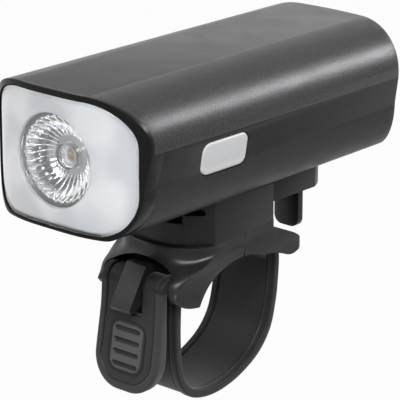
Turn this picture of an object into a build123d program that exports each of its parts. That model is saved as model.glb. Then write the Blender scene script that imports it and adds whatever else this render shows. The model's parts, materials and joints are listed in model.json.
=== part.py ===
from build123d import *
import math
import os

# Bicycle headlight on an elastic handlebar mount. Millimetres, +Z up, beam towards -Y.
# The origin is on the handlebar's axis, at the middle of the mount's width.

# Handlebar
bar_r = 15.9
over = 2.0
wide_over = 40.0
quarter_turn = 90
hex_sides = 6
end_round_share = 0.497

# Lamp body, a wide loaf: the outline every housing piece is cut from
body_half_w = 24.8
body_front = 51.9
body_rear = 51.0
low_h = 20.9
top_h = 13.0
shoulder_w = 14.2
shoulder_h = 11.4
keel_rise = 1.2
keel_corner_w = 8.1
keel_corner_h = 13.0
side_draft = 1.2
nose_bulge = 8.46
rim_bulge = 7.9
tail_bulge = 3.6
# across the half width, and how far back of the full bulge the face has curved there
nose_curve_shares = ((0, 0), (0.35, 0.035), (0.55, 0.15), (0.72, 0.352), (0.87, 0.642), (1, 1))
top_wall = 1.6
low_wall = 1.8

# Front: rim, clear cover, milky panel, light tray
rim_depth = 4.5
shell_setback = 1.2
rim_side = 2.1
rim_low = 0.6
rim_top = 1.25
panel_corner_w = 12.4
panel_corner_h = 10.2
panel_low_corner_w = 9.4
panel_low_corner_h = 10.6
cover_sunk = 0.1
cover_thick = 1.0
seat_lip = 0.9
panel_sunk = 1.2
milky_thick = 1.7
tray_wall = 1.0
tray_taper = 2.4

# Beam lens, its cup, the light source
lens_drop = 0.2
lens_r = 11.3
lens_sunk = 2.1
lens_flange = 2.0
lens_ledge = 0.8
lens_depth = 10.4
lens_foot_r = 4.7
lens_belly = 1.5
lens_well_r = 3.0
lens_well_depth = 4.2
lens_well_dome = 1.2
lens_well_ball = 4.4
lens_flutes = 32
flute_depth = 0.38
lens_steps = 4
lens_bead_ball = 26.0
lens_bead_rise = 0.25
lens_gap = 0.25
cup_wall = 1.1
cup_foot_r = 8.4
board_gap = 0.9
flank_gap = 0.35
led_half = 1.75
led_base_h = 0.7
led_dome_r = 1.35
flood_half_x = 1.4
flood_half_z = 1.0
flood_h = 0.6
flood_side = 4.5
flood_z = 7.5
led_board_side = 4.2
led_board_half_z = 11.9
board_thick = 1.2
spreader_thick = 2.0
spreader_hole_r = 3.0
lead_r = 0.6
lead_x = 1.5
lead_lap = 2.5

# Cells, cradle, driver board
cell_rear_set = 11.8
cell_front_set = 9.4
cell_gap = 0.25
cell_side_set = 6.15
cell_cap_r = 3.0
cell_cap_h = 0.8
cradle_side = 6.15
cradle_clear = 0.4
cradle_h = 5.0
cradle_floor = 1.0
cradle_gap = 0.06
cradle_web = 1.6
tab_half_x = 12.0
tab_half_z = 2.6
tab_thick = 0.25
driver_side_gap = 0.4
driver_front_set = 4.9
driver_rear_set = 6.6
driver_lift = 2.6
coil_half = 4.0
coil_h = 3.2
chip_half = 3.0
chip_h = 1.0
cap_r = 2.2
cap_h = 4.2
driver_post_r = 1.6
driver_post_inset = 2.0
driver_part_shares = ((0.35, 0.3), (-0.4, 0.3), (0, 0.55), (0.45, 0.5), (-0.45, 0.5), (0, 0.75))
tab_strip_half = 2.0

# Closing screws of the housing, in posts
post_side = 9.8
post_front_set = 2.7
post_rear_set = 9.4
post_r = 2.2
screw_r = 1.0
screw_bite = 5.0
screw_head_r = 1.9
screw_head_h = 1.3
screw_seat_skin = 1.6

# Rear cap, charging socket and its cover
cap_inset = 3.0
cap_thick = 2.2
port_half_w = 4.5
port_half_h = 1.6
socket_wall = 0.35
socket_len = 7.4
socket_tongue_half_w = 3.3
socket_tongue_half_h = 0.35
port_gap = 0.15
flap_half_w = 8.2
flap_round_share = 0.34
flap_top = 3.9
flap_low = 6.2
flap_thick = 1.3
flap_gap = 0.3
plug_gap = 0.55
plug_len = 0.9
flap_pin_r = 0.6
flap_knuckle_r = 1.2
flap_knuckle_half = 4.0
flap_ear = 1.6
socket_set = 0.7
pin_gap = 0.05

# Power button in the right side, its switch and status lights
button_set = 25.7
button_len = 16.5
button_h = 8.6
button_drop = 1.1
button_corner_r = 2.6
button_gap = 0.25
button_proud = 0.2
button_depth = 3.65
button_flange = 0.9
button_travel = 0.6
switch_board_set = 5.85
switch_board_thick = 0.8
switch_board_half_y = 7.0
switch_board_half_z = 3.5
switch_rib = 0.8
switch_rib_rise = 0.3
switch_half = 2.6
switch_h = 1.7
plunger_r = 0.9
plunger_bite = 1.15
button_pocket_half_y = 3.5
button_pocket_half_z = 3.2
status_half = 0.8
status_h = 0.5
status_pitch = 1.3
status_first = 5.65

# Foot of the lamp: full-width rear block, flanged runner in front of it
mount_side = 4.9
foot_drop = 1.6
shoulder_gap = 0.1
foot_side_len = 15.8
foot_tail = 10.4
runner_front_y = -12.0
runner_gap = 0.2

# Bracket block with its flanged channel
saddle_h = 6.15
block_h = 10.55
seam_slope = 0.06
block_rear_y = 10.7
slide_gap = 0.35
nose_y = 18.1
nose_run = 7.0
nose_shares = ((0, 0), (0.25, 0.03), (0.45, 0.13), (0.63, 0.31), (0.82, 0.64), (1, 1))
channel_side = 1.7
channel_h = 2.3
channel_roof = 0.95
channel_lip = 1.7
groove_side = 6.2
groove_depth = 2.2
pocket_len = 2.8
pocket_set = 2.9
pocket_depth = 1.3

# Release tongue under the foot
tongue_half = 5.0
tooth_half = 4.0
tongue_thick = 1.5
tongue_lift = 0.3
tongue_set = 4.0
tongue_root = 3.0
tongue_waist_half = 3.4
tongue_bite = 0.8
tongue_gap = 0.35
tongue_step = 0.7
runner_slot_up = 1.5
foot_slot_skin = 1.4
finger_back_gap = 0.4
finger_half = 4.0
finger_set = 1.6
finger_corner_r = 2.5
finger_thick = 1.9
finger_drop = 15.2
rivet_r = 1.2
rivet_head_r = 2.0
rivet_head_h = 0.6
rivet_x = 2.7
foot_screw_side = 2.2
foot_screw_front = 3.5
foot_screw_rear = 9.2
foot_screw_up = 1.4
foot_screw_head_r = 1.9
foot_screw_head_h = 1.2
foot_screw_len = 5.0

# Bracket base: saddle, toes, tail
toe_shares = ((0, 0), (0.45, 0.01), (0.7, 0.08), (0.86, 0.28), (0.96, 0.6), (1, 1))
toe_reach = 8.0
# rows from the top down: shares of seam height, half width, toe reach and nose run, then how the corners round
base_row_shares = (
    (1.111, 1, 0.711, 0.914, nose_shares),
    (0.8435, 1, 0.837, 1.2, nose_shares),
    (0.7256, 0.96, 0.9205, 0.814, nose_shares),
    (0.6168, 0.893, 0.983, 0.486, toe_shares),
    (0.5125, 0.86, 0.99, 0.172, toe_shares),
    (0.227, 0.833, 0.93, 0.172, toe_shares),
)
# side view, as shares of toe or arm reach and of the seam's height: the toe's underside and the arm behind
toe_under_shares = (
    (1.038, 0.59), (1.004, 0.508), (0.979, 0.444), (0.929, 0.385), (0.845, 0.331), (0.724, 0.29), (0.582, 0.277),
)
arm_reach = 6.1
arm_shares = (
    (0.491, 0.943), (0.564, 0.907), (0.688, 0.857), (0.8165, 0.803), (0.922, 0.744), (0.977, 0.694), (1, 0.644),
    (0.982, 0.599), (0.927, 0.56), (0.853, 0.537), (0.784, 0.537), (0.702, 0.562), (0.6055, 0.599),
    (0.482, 0.633), (0.344, 0.6485),
)
arm_corner_r = 1.5
arch_side_gap = 0.8
arch_roof = 4.1
arch_rise = 3.5
fold_wall_gap = 0.4
fold_bar_set = 2.7
fold_bar_drop = 6.85
fold_bar_r = 1.45
fold_gap = 0.15
base_screw_front_y = -6.5
base_screw_rear_y = 4.5
base_screw_r = 1.25
base_screw_head_r = 2.0
base_screw_head_h = 1.5
base_screw_len = 8.5
pad_side = 2.6
pad_front_deg = 148
pad_rear_deg = 48
pad_thick = 1.4
pad_ribs = 5
pad_rib_w = 1.1
pad_rib_depth = 0.45

# Hook
hook_top_half = 2.75
hook_low_half = 3.2
hook_reach = 8.0
hook_h = 5.3
# side view from the bar's middle, as shares of the hook's reach and height
hook_side_shares = ((-0.1, 0), (-0.1, 1), (0.2375, 1), (1, -0.868), (0.9125, -1.075), (0.725, -1.04))

# Strap and pull tab; the loop's middle line in Y and Z, as shares of its reach, from the anchor round to the fold
loop_reach = 3.1
loop_shares = (
    (0.9316, 0.6211), (0.95, 0.4737), (0.9342, 0.2211), (0.8963, -0.0632), (0.7895, -0.4289), (0.5632, -0.7053),
    (0.2105, -0.9), (-0.1474, -0.9947), (-0.4632, -1), (-0.7368, -0.9158), (-0.9105, -0.7211),
    (-0.9789, -0.4421), (-0.9974, -0.0789), (-0.9895, 0.2632),
)
strap_half_w = 10.1
strap_thick = 2.2
strap_rim = 2.1
strap_recess = 0.35
strap_gap = 0.35
eye_set = 7.1
eye_drop = 7.05
eye_pin_r = 1.25
eye_wall = 1.2
hole_side_gap = 0.4
hole_drop = 7.1
hole_set = 1.15
tab_step = 0.4
tab_wide_drop = 16.7
tab_corner_r = 6.5
tab_len = 26.4
tab_lean = 3.7
# as shares of the tab's lean and length, front and back
tab_front_shares = ((0.135, 0.231), (0.486, 0.58), (1, 1))
tab_back_shares = ((0.027, 0.231), (0.162, 0.58), (0.676, 1))
tab_panel_depth = 0.5
tab_rim = 2.2
grip_half_w = 5.1
grip_top_up = 16.9
grip_low_up = 5.1
grip_corner_r = 2.6
grip_slots = 4
grip_slot_half = 4.15
grip_slot_h = 1.15
grip_slot_depth = 0.7

os.makedirs("parts", exist_ok=True)

# Heights from the handlebar up, worked out from the sizes above
seam_z = bar_r + saddle_h
keel_front_z = seam_z + block_h
keel_rear_z = keel_front_z + keel_rise
split_z = keel_front_z + low_h
crown_z = split_z + top_h
block_top_z = keel_front_z - slide_gap
channel_top_z = block_top_z - channel_roof
channel_ledge_z = channel_top_z - channel_h
groove_floor_z = channel_ledge_z - groove_depth
foot_low_z = channel_ledge_z - foot_drop
runner_slot_z = channel_ledge_z + runner_slot_up
foot_slot_z = keel_rear_z - foot_slot_skin
foot_screw_seat_z = channel_ledge_z + foot_screw_up
foot_screw_tip_z = foot_screw_seat_z + foot_screw_len
finger_low_z = foot_low_z - finger_drop
tongue_z = groove_floor_z + tongue_lift
arch_top_z = seam_z - arch_roof
arch_side_z = arch_top_z - arch_rise
fold_bar_z = arch_top_z - fold_bar_drop

# Places in the lamp
panel_half_w = body_half_w - rim_side
panel_low_z = keel_front_z + rim_low
panel_top_z = crown_z - rim_top
lens_z = (panel_low_z + panel_top_z) / 2 - lens_drop
lens_y = lens_sunk - body_front
board_y = lens_y + lens_depth + board_gap
spreader_y = board_y + board_thick
led_board_half_x = panel_half_w - led_board_side
flood_x = led_board_half_x - flood_side
cell_r = (body_half_w - cell_side_set - cell_gap) / 2
cell_x = cell_r + cell_gap
cell_front_y = spreader_y + spreader_thick + cell_front_set
cell_len = body_rear - cell_rear_set - cell_front_y
cradle_half_x = cell_x + cradle_side
cradle_base_z = keel_rear_z + low_wall + cradle_clear
cradle_top_z = cradle_base_z + cradle_h
cell_z = cradle_base_z + cradle_floor + cradle_gap + cell_r
driver_z = cell_z + cell_r + driver_lift
post_x = body_half_w - post_side
post_front_y = cell_front_y - post_front_set
post_rear_y = body_rear - post_rear_set
driver_half_x = post_x - post_r - driver_side_gap
driver_front_y = cell_front_y + driver_front_set
driver_rear_y = body_rear - driver_rear_set
port_z = driver_z - port_half_h - socket_wall
flap_y = body_rear - cap_inset + flap_gap
flap_pin_y = flap_y + flap_knuckle_r
flap_pin_z = port_z - flap_low
socket_start_y = flap_y - socket_set - socket_len
button_front_y = button_set - body_front
button_rear_y = button_front_y + button_len
button_top_z = split_z - button_drop
button_low_z = button_top_z - button_h
button_y = (button_front_y + button_rear_y) / 2
button_z = (button_low_z + button_top_z) / 2
button_back_x = body_half_w - button_depth
plunger_top_x = button_back_x + plunger_bite
switch_board_x = body_half_w - switch_board_set
switch_x = switch_board_x + switch_board_thick

# Places in the mount
mount_half_w = strap_half_w + mount_side
channel_half = mount_half_w - channel_side
mouth_half = channel_half - channel_lip
runner_flange_half = channel_half - runner_gap
runner_neck_half = mouth_half - runner_gap
groove_half = mount_half_w - groove_side
pocket_rear_y = block_rear_y - pocket_set
pocket_front_y = pocket_rear_y - pocket_len
foot_shoulder_y = block_rear_y + shoulder_gap
foot_side_rear_y = foot_shoulder_y + foot_side_len
tongue_front_y = runner_front_y + tongue_set
tongue_rest_y = block_rear_y - tongue_step
finger_rear_y = foot_side_rear_y + foot_tail - finger_set
foot_slot_rear_y = finger_rear_y + finger_back_gap
foot_screw_x = runner_neck_half - foot_screw_side
foot_screw_y = (runner_front_y + foot_screw_front, foot_shoulder_y + foot_screw_rear)
base_screw_x = (groove_half + channel_half) / 2
base_screw_y = (base_screw_front_y, base_screw_rear_y)
pad_half_w = mount_half_w - pad_side
toe_y = bar_r + toe_reach
arm_end_y = bar_r + arm_reach
arch_half = strap_half_w + arch_side_gap
fold_r = fold_bar_r + fold_gap + strap_thick / 2
fold_bar_y = toe_y - fold_bar_set
fold_wall_y = fold_bar_y - fold_r - strap_thick / 2 - fold_wall_gap
eye_y = arm_end_y - eye_set
eye_z = seam_z - eye_drop
eye_r = eye_pin_r + eye_wall
loop_r = bar_r + loop_reach
loop_route = [(eye_y + eye_r - strap_thick / 2, eye_z)]
loop_route += [(y_share * loop_r, z_share * loop_r) for y_share, z_share in loop_shares]
loop_route += [(fold_r - fold_bar_y, fold_bar_z)]
hole_half_w = hook_low_half + hole_side_gap
hole_low_z = fold_bar_z - hole_drop
hole_rear_y = fold_bar_y - hole_set
tab_hinge_y = -fold_bar_y - fold_r - strap_thick / 2
tab_top_half = strap_half_w - tab_step
tab_low_half = strap_half_w + tab_step
tab_tip_z = fold_bar_z - tab_len
tab_wide_z = fold_bar_z - tab_wide_drop
grip_top_z = tab_tip_z + grip_top_up
grip_low_z = tab_tip_z + grip_low_up


# Helpers: flat outlines pushed along one axis
def along_x(face, x0, x1):
    return extrude(Plane.YZ.offset(x0) * face, amount=x1 - x0, dir=(1, 0, 0))


def along_y(face, y0, y1):
    return extrude(Plane.XZ.offset(-y0) * face, amount=y1 - y0, dir=(0, 1, 0))


def along_z(face, z0, z1):
    return extrude(Plane.XY.offset(z0) * face, amount=z1 - z0, dir=(0, 0, 1))


def flat(*points):
    return make_face(Polyline(*points, close=True))


def block(x0, x1, y0, y1, z0, z1):
    return along_z(flat((x0, y0), (x1, y0), (x1, y1), (x0, y1)), z0, z1)


def rod_x(r, x0, x1, y, z):
    return along_x(Pos(y, z) * Circle(r), x0, x1)


def rod_y(r, y0, y1, x, z):
    return along_y(Pos(x, z) * Circle(r), y0, y1)


def rod_z(r, z0, z1, x, y):
    return along_z(Pos(x, y) * Circle(r), z0, z1)


def rounded(w, h, r):
    return RectangleRounded(w, h, r)


def only(shape):
    """The one solid of a shape, so that each part is stored as a plain solid."""
    solids = shape.solids()
    return solids[0] if len(solids) == 1 else Compound(children=list(solids))


def keel_z(y):
    share = (y + body_front) / (body_front + body_rear)
    return keel_front_z + (keel_rear_z - keel_front_z) * share


def quarter(cx, cz, rx, rz, start):
    """A quarter of an ellipse, anticlockwise from the start angle."""
    return EllipticalCenterArc((cx, cz), rx, rz, start_angle=start, arc_size=quarter_turn)


# The lamp body's outline, in X and Z
def top_profile(inset, low_z):
    w = body_half_w - inset
    rx = shoulder_w - inset
    rz = shoulder_h - inset
    spring = crown_z - shoulder_h
    return Face(Wire([
        Line((w, low_z), (w, spring)),
        quarter(w - rx, spring, rx, rz, 0),
        Line((w - rx, spring + rz), (rx - w, spring + rz)),
        quarter(rx - w, spring, rx, rz, quarter_turn),
        Line((-w, spring), (-w, low_z)),
        Line((-w, low_z), (w, low_z)),
    ]))


def low_profile(inset, keel):
    w = body_half_w - inset
    rx = keel_corner_w - inset
    rz = keel_corner_h - inset
    cx = w - side_draft - rx
    cz = keel + keel_corner_h
    return Face(Wire([
        Line((-w, split_z), (w, split_z)),
        Line((w, split_z), (cx + rx, cz)),
        quarter(cx, cz, rx, rz, -quarter_turn),
        Line((cx, cz - rz), (-cx, cz - rz)),
        quarter(-cx, cz, rx, rz, 2 * quarter_turn),
        Line((-cx - rx, cz), (-w, split_z)),
    ]))


def low_solid(inset, y0, y1):
    faces = [Plane.XZ.offset(-y) * low_profile(inset, keel_z(y)) for y in (y0, y1)]
    return loft(faces, ruled=True)


def nose_line(back, bulge):
    points = [(sign * share * body_half_w, back - body_front + bulge * depth)
              for sign, rows in ((-1, nose_curve_shares[:0:-1]), (1, nose_curve_shares))
              for share, depth in rows]
    return Spline(*points)


def plan(front_back, bulge, rear_inset):
    """The lamp seen from above, between its curved front and rear."""
    w = body_half_w
    front = nose_line(front_back, bulge)
    y_front = front_back - body_front + bulge
    y_rear = body_rear - rear_inset
    side = w + over
    return Face(Wire([
        front,
        Line((w, y_front), (side, y_front)),
        Line((side, y_front), (side, y_rear - tail_bulge)),
        Line((side, y_rear - tail_bulge), (w, y_rear - tail_bulge)),
        ThreePointArc((w, y_rear - tail_bulge), (0, y_rear), (-w, y_rear - tail_bulge)),
        Line((-w, y_rear - tail_bulge), (-side, y_rear - tail_bulge)),
        Line((-side, y_rear - tail_bulge), (-side, y_front)),
        Line((-side, y_front), (-w, y_front)),
    ]))


def plan_solid(front_back, bulge, rear_inset):
    return along_z(plan(front_back, bulge, rear_inset), keel_front_z - over, crown_z + over)


def nose_slab(front, back, bulge):
    """What lies between two copies of the nose curve, one behind the other."""
    return plan_solid(front, bulge, 0) - plan_solid(back, bulge, -over)


y_min = -body_front - over
y_max = body_rear + over


# Housing shells
def screw_posts(z0, z1, r):
    return [rod_z(r, z0, z1, sx * post_x, y) for sx in (-1, 1) for y in (post_front_y, post_rear_y)]


def make_upper_shell():
    outer = along_y(top_profile(0, split_z), y_min, y_max)
    inner = along_y(top_profile(top_wall, split_z - over), y_min, y_max)
    outer = outer & plan_solid(shell_setback, rim_bulge, 0)
    shell = outer - inner - panel_seat()
    for post in screw_posts(split_z, crown_z, post_r):
        shell += post & outer
    for hole in screw_posts(split_z - over, split_z + screw_bite, screw_r):
        shell -= hole
    for x, y in driver_post_places():
        shell += rod_z(driver_post_r, driver_z + board_thick, crown_z, x, y) & outer
    return shell


def window(gap, x0, x1):
    w = button_rear_y - button_front_y + 2 * gap
    h = button_top_z - button_low_z + 2 * gap
    return along_x(Pos(button_y, button_z) * rounded(w, h, button_corner_r + gap), x0, x1)


def make_lower_shell():
    plan_cut = plan_solid(rim_depth, rim_bulge, 0)
    outer = low_solid(0, y_min, y_max) & plan_cut
    inner = low_solid(low_wall, y_min - over, y_max + over)
    shell = outer - inner
    for post in screw_posts(keel_front_z, split_z, post_r):
        shell += post & outer
    for hole in screw_posts(keel_front_z - over, split_z + over, screw_r + pin_gap):
        shell -= hole
    for sx in (-1, 1):
        for y in (post_front_y, post_rear_y):
            seat = keel_z(y) + screw_seat_skin
            shell -= rod_z(screw_head_r + pin_gap, keel_front_z - over, seat, sx * post_x, y)
    shell -= window(0, button_back_x - over, body_half_w + over)
    for sy in (-1, 1):
        y = button_y + sy * (switch_board_half_y + switch_rib / 2)
        rib = block(switch_board_x, switch_x + switch_rib_rise, y - switch_rib / 2,
                    y + switch_rib / 2, keel_front_z, button_z + switch_board_half_z)
        shell += rib & outer
    for x, y in foot_screw_places():
        shell -= rod_z(screw_r, keel_front_z - over, keel_rear_z + low_wall + over, x, y)
    for sx in (-1, 1):
        rib = block(sx * cradle_half_x - cradle_web / 2, sx * cradle_half_x + cradle_web / 2,
                    cell_front_y, cell_front_y + cell_len, keel_front_z, cradle_base_z)
        shell += rib & outer
    return shell


def shell_screw(x, y):
    seat = keel_z(y) + screw_seat_skin
    shank = rod_z(screw_r - pin_gap, seat - pin_gap, split_z + screw_bite - pin_gap, x, y)
    head = rod_z(screw_head_r - pin_gap, seat - screw_head_h, seat, x, y)
    socket = along_z(Pos(x, y) * RegularPolygon(screw_head_r / 2, hex_sides), seat - screw_head_h - over,
                     seat - screw_head_h / 2)
    return head + shank - socket


# Front rim, cover, milky panel, tray
def panel_face(inset):
    w = panel_half_w - inset
    rx = panel_corner_w - inset
    rz = panel_corner_h - inset
    lx = panel_low_corner_w - inset
    lz = panel_low_corner_h - inset
    z0 = panel_low_z + inset
    z1 = panel_top_z - inset
    return Face(Wire([
        quarter(w - rx, z1 - rz, rx, rz, 0),
        Line((w - rx, z1), (rx - w, z1)),
        quarter(rx - w, z1 - rz, rx, rz, quarter_turn),
        Line((-w, z1 - rz), (-w, z0 + lz)),
        quarter(lx - w, z0 + lz, lx, lz, 2 * quarter_turn),
        Line((lx - w, z0), (w - lx, z0)),
        quarter(w - lx, z0 + lz, lx, lz, 3 * quarter_turn),
        Line((w, z0 + lz), (w, z1 - rz)),
    ]))


def panel_prism(inset):
    return along_y(panel_face(inset), y_min, 0)


cover_back = cover_sunk + cover_thick


def panel_seat():
    """The front opening's full outline, as deep as cover and milky panel reach."""
    return panel_prism(0) & nose_slab(-over, panel_sunk + milky_thick, nose_bulge)


def make_rim():
    outer = along_y(top_profile(top_wall, split_z), y_min, 0) + low_solid(0, y_min, 0)
    top_front = along_y(top_profile(0, split_z), y_min, 0) & nose_slab(0, shell_setback, rim_bulge)
    ring = (outer & nose_slab(0, rim_depth, rim_bulge)) + top_front
    ring -= panel_prism(seat_lip)
    return ring - panel_seat()


def make_cover():
    return panel_prism(port_gap) & nose_slab(cover_sunk, cover_back, nose_bulge)


def make_milky_panel():
    plate = panel_prism(port_gap) & nose_slab(panel_sunk, panel_sunk + milky_thick, nose_bulge)
    return plate - rod_y(lens_r + lens_gap, y_min, 0, 0, lens_z)


def make_tray():
    start = panel_sunk + milky_thick
    y_front = -body_front + start
    y_back = board_y
    outer = loft([Plane.XZ.offset(-y_front) * panel_face(seat_lip + tray_wall),
                  Plane.XZ.offset(-y_back) * panel_face(seat_lip + tray_wall + tray_taper)], ruled=True)
    inner = loft([Plane.XZ.offset(-y_front) * panel_face(seat_lip + 2 * tray_wall),
                  Plane.XZ.offset(-y_back) * panel_face(seat_lip + 2 * tray_wall + tray_taper)], ruled=True)
    return (outer - inner) & plan_solid(start, nose_bulge, 0)


# Beam lens: a revolved collimator with a fluted flank, drawn as radius and depth
def flank(out):
    """The lens's curved side, moved outwards by so much."""
    start = (lens_r - lens_ledge + out, lens_flange)
    middle = ((lens_r + lens_foot_r) / 2 + lens_belly + out, (lens_flange + lens_depth) / 2)
    return ThreePointArc(start, middle, (lens_foot_r + out, lens_depth))


def at_lens(shape):
    return Pos(0, lens_y, lens_z) * shape


def fluted(r, depth):
    """A lens section with a ring of small round lobes."""
    turn = math.pi / lens_flutes
    arcs = []
    for i in range(lens_flutes):
        a0, a1, a2 = ((2 * i + k) * turn for k in (0, 1, 2))
        low = r - flute_depth
        arcs.append(ThreePointArc((low * math.cos(a0), low * math.sin(a0)), (r * math.cos(a1), r * math.sin(a1)),
                                  (low * math.cos(a2), low * math.sin(a2))))
    return Plane.XZ.offset(-depth) * Face(Wire(arcs))


def make_lens():
    side = flank(0)
    sections = [side @ (i / lens_steps) for i in range(lens_steps + 1)]
    lens = loft([fluted(point.X, point.Y) for point in sections], ruled=True)
    lens += along_y(Circle(lens_r), 0, lens_flange)
    lens += Pos(0, lens_bead_ball - lens_bead_rise, 0) * Sphere(lens_bead_ball) & along_y(Circle(lens_r), -over, over)
    well = lens_depth - lens_well_depth
    lens -= along_y(Circle(lens_well_r), well, lens_depth + over)
    lens -= Pos(0, well + lens_well_ball - lens_well_dome, 0) * Sphere(lens_well_ball) & along_y(
        Circle(lens_well_r), 0, lens_depth)
    return at_lens(lens)


def make_cup():
    inner = flank(flank_gap)
    r_out = lens_r + cup_wall
    foot = lens_depth + board_gap
    r_in = lens_foot_r + flank_gap
    face = Face(Wire([
        Line(inner @ 0, (r_out, lens_flange)),
        Line((r_out, lens_flange), (r_out, lens_flange + 2 * cup_wall)),
        Line((r_out, lens_flange + 2 * cup_wall), (cup_foot_r, foot)),
        Line((cup_foot_r, foot), (r_in, foot)),
        Line((r_in, foot), (r_in, lens_depth)),
        inner,
    ]))
    return at_lens(revolve(face, Axis.Y))


def make_led():
    h = led_base_h
    base = block(-led_half, led_half, board_y - h, board_y, lens_z - led_half, lens_z + led_half)
    dome = Pos(0, board_y - h, lens_z) * Sphere(led_dome_r)
    front = block(-led_half, led_half, board_y - h - 2 * led_dome_r, board_y - h,
                  lens_z - led_half, lens_z + led_half)
    return base + (dome & front)


def make_flood_leds():
    group = []
    for sx in (-1, 1):
        for sz in (-1, 1):
            x = sx * flood_x
            z = lens_z + sz * flood_z
            group.append(block(x - flood_half_x, x + flood_half_x, board_y - flood_h, board_y,
                               z - flood_half_z, z + flood_half_z))
    return Compound(children=group)


def make_led_board():
    outline = Pos(0, lens_z) * rounded(2 * led_board_half_x, 2 * led_board_half_z, 2 * cup_wall)
    return along_y(outline, board_y, board_y + board_thick)


def make_spreader():
    y0 = spreader_y
    y1 = spreader_y + spreader_thick
    plate = along_y(top_profile(top_wall, split_z), y0, y1) + low_solid(low_wall, y0, y1)
    return plate - rod_y(spreader_hole_r, y0 - over, y1 + over, 0, driver_z + board_thick + lead_r)


def make_led_leads():
    z = driver_z + board_thick + lead_r
    return Compound(children=[rod_y(lead_r, spreader_y, driver_front_y + lead_lap, sx * lead_x, z)
                              for sx in (-1, 1)])


# Cells, cradle, driver board
def make_cells():
    group = []
    for sx in (-1, 1):
        y0 = cell_front_y
        can = rod_y(cell_r, y0 + cell_cap_h, y0 + cell_len, sx * cell_x, cell_z)
        group.append(can + rod_y(cell_cap_r, y0, y0 + cell_cap_h, sx * cell_x, cell_z))
    return Compound(children=group)


def make_cradle():
    y0 = cell_front_y + cell_cap_h
    y1 = cell_front_y + cell_len
    tray = block(-cradle_half_x, cradle_half_x, y0, y1, cradle_base_z, cradle_top_z)
    for sx in (-1, 1):
        tray -= rod_y(cell_r + cradle_gap, y0 - over, y1 + over, sx * cell_x, cell_z)
    return tray


def make_cell_tabs():
    front = cell_front_y
    rear = cell_front_y + cell_len
    group = [block(-tab_half_x, tab_half_x, rear, rear + tab_thick, cell_z - tab_half_z, cell_z + tab_half_z)]
    for sx in (-1, 1):
        x = sx * cell_x
        up = block(x - tab_strip_half, x + tab_strip_half, front - tab_thick, front,
                   cell_z - tab_half_z, driver_z)
        over_board = block(x - tab_strip_half, x + tab_strip_half, front - tab_thick, driver_front_y + over,
                           driver_z - tab_thick, driver_z)
        group.append(up + over_board)
    return Compound(children=group)


def driver_post_places():
    x = driver_half_x - driver_post_inset
    y0 = driver_front_y + driver_post_inset
    y1 = driver_rear_y - driver_post_inset - 2 * post_r
    return [(sx * x, y) for sx in (-1, 1) for y in (y0, y1)]


def make_driver_board():
    return block(-driver_half_x, driver_half_x, driver_front_y, driver_rear_y, driver_z, driver_z + board_thick)


def make_driver_parts():
    z = driver_z + board_thick
    length = driver_rear_y - driver_front_y
    coil = block(-coil_half, coil_half, -coil_half, coil_half, 0, coil_h)
    chip = block(-chip_half, chip_half, -chip_half, chip_half, 0, chip_h)
    can = rod_z(cap_r, 0, cap_h, 0, 0)
    group = []
    for part, (x_share, y_share) in zip((coil, chip, chip, can, can, can), driver_part_shares):
        group.append(Pos(x_share * driver_half_x, driver_front_y + y_share * length, z) * part)
    return Compound(children=group)


# Rear cap, socket, flap
def cap_slab(front, back):
    return plan_solid(-over, rim_bulge, front) - plan_solid(-2 * over, rim_bulge, back)


def make_rear_cap():
    y0 = body_rear - tail_bulge - cap_inset - cap_thick - over
    inner = along_y(top_profile(top_wall, split_z), y0, y_max) + low_solid(low_wall, y0, y_max)
    cap = inner & cap_slab(cap_inset, cap_inset + cap_thick)
    w = 2 * (port_half_w + socket_wall + port_gap)
    h = 2 * (port_half_h + socket_wall + port_gap)
    cap -= along_y(Pos(0, port_z) * rounded(w, h, h * end_round_share), y0, y_max)
    for sx in (-1, 1):
        x0 = sx * (flap_knuckle_half + port_gap)
        x1 = sx * (flap_knuckle_half + port_gap + flap_ear)
        ear = rod_x(flap_knuckle_r, min(x0, x1), max(x0, x1), flap_pin_y, flap_pin_z)
        ear += block(min(x0, x1), max(x0, x1), flap_y - flap_gap - cap_thick / 2, flap_pin_y,
                     flap_pin_z - flap_knuckle_r, flap_pin_z + flap_knuckle_r)
        cap += ear - rod_x(flap_pin_r, -wide_over, wide_over, flap_pin_y, flap_pin_z)
    return cap


def make_flap_pin():
    half = flap_knuckle_half + port_gap + flap_ear
    return rod_x(flap_pin_r, -half, half, flap_pin_y, flap_pin_z)


def make_flap():
    z0 = flap_pin_z + flap_knuckle_r + flap_gap
    z1 = port_z + flap_top
    h = z1 - z0
    plate = along_y(Pos(0, (z0 + z1) / 2) * rounded(2 * flap_half_w, h, h * flap_round_share), flap_y, flap_y + flap_thick)
    stem = block(-flap_knuckle_half, flap_knuckle_half, flap_y, flap_y + flap_thick, flap_pin_z, z0 + h * flap_round_share)
    knuckle = rod_x(flap_knuckle_r, -flap_knuckle_half, flap_knuckle_half, flap_pin_y, flap_pin_z)
    flap = plate + stem + knuckle
    flap -= rod_x(flap_pin_r + pin_gap, -wide_over, wide_over, flap_pin_y, flap_pin_z)
    w = 2 * (port_half_w - plug_gap)
    ph = 2 * (port_half_h - plug_gap)
    plug = along_y(Pos(0, port_z) * rounded(w, ph, ph * end_round_share), flap_y - plug_len, flap_y)
    plug -= along_y(Pos(0, port_z) * Rectangle(w - ph / 2, ph / 2), flap_y - plug_len - over, flap_y)
    return flap + plug


def make_socket():
    y0 = socket_start_y
    y1 = socket_start_y + socket_len
    w = 2 * (port_half_w + socket_wall)
    h = 2 * (port_half_h + socket_wall)
    can = along_y(Pos(0, port_z) * rounded(w, h, h * end_round_share), y0, y1)
    can -= along_y(Pos(0, port_z) * rounded(2 * port_half_w, 2 * port_half_h, 2 * port_half_h * end_round_share),
                   y0 + 2 * socket_wall, y1 + over)
    blade = along_y(Pos(0, port_z) * Rectangle(2 * socket_tongue_half_w, 2 * socket_tongue_half_h),
                    y0 + socket_wall, y1 - plug_len)
    return can + blade


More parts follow.
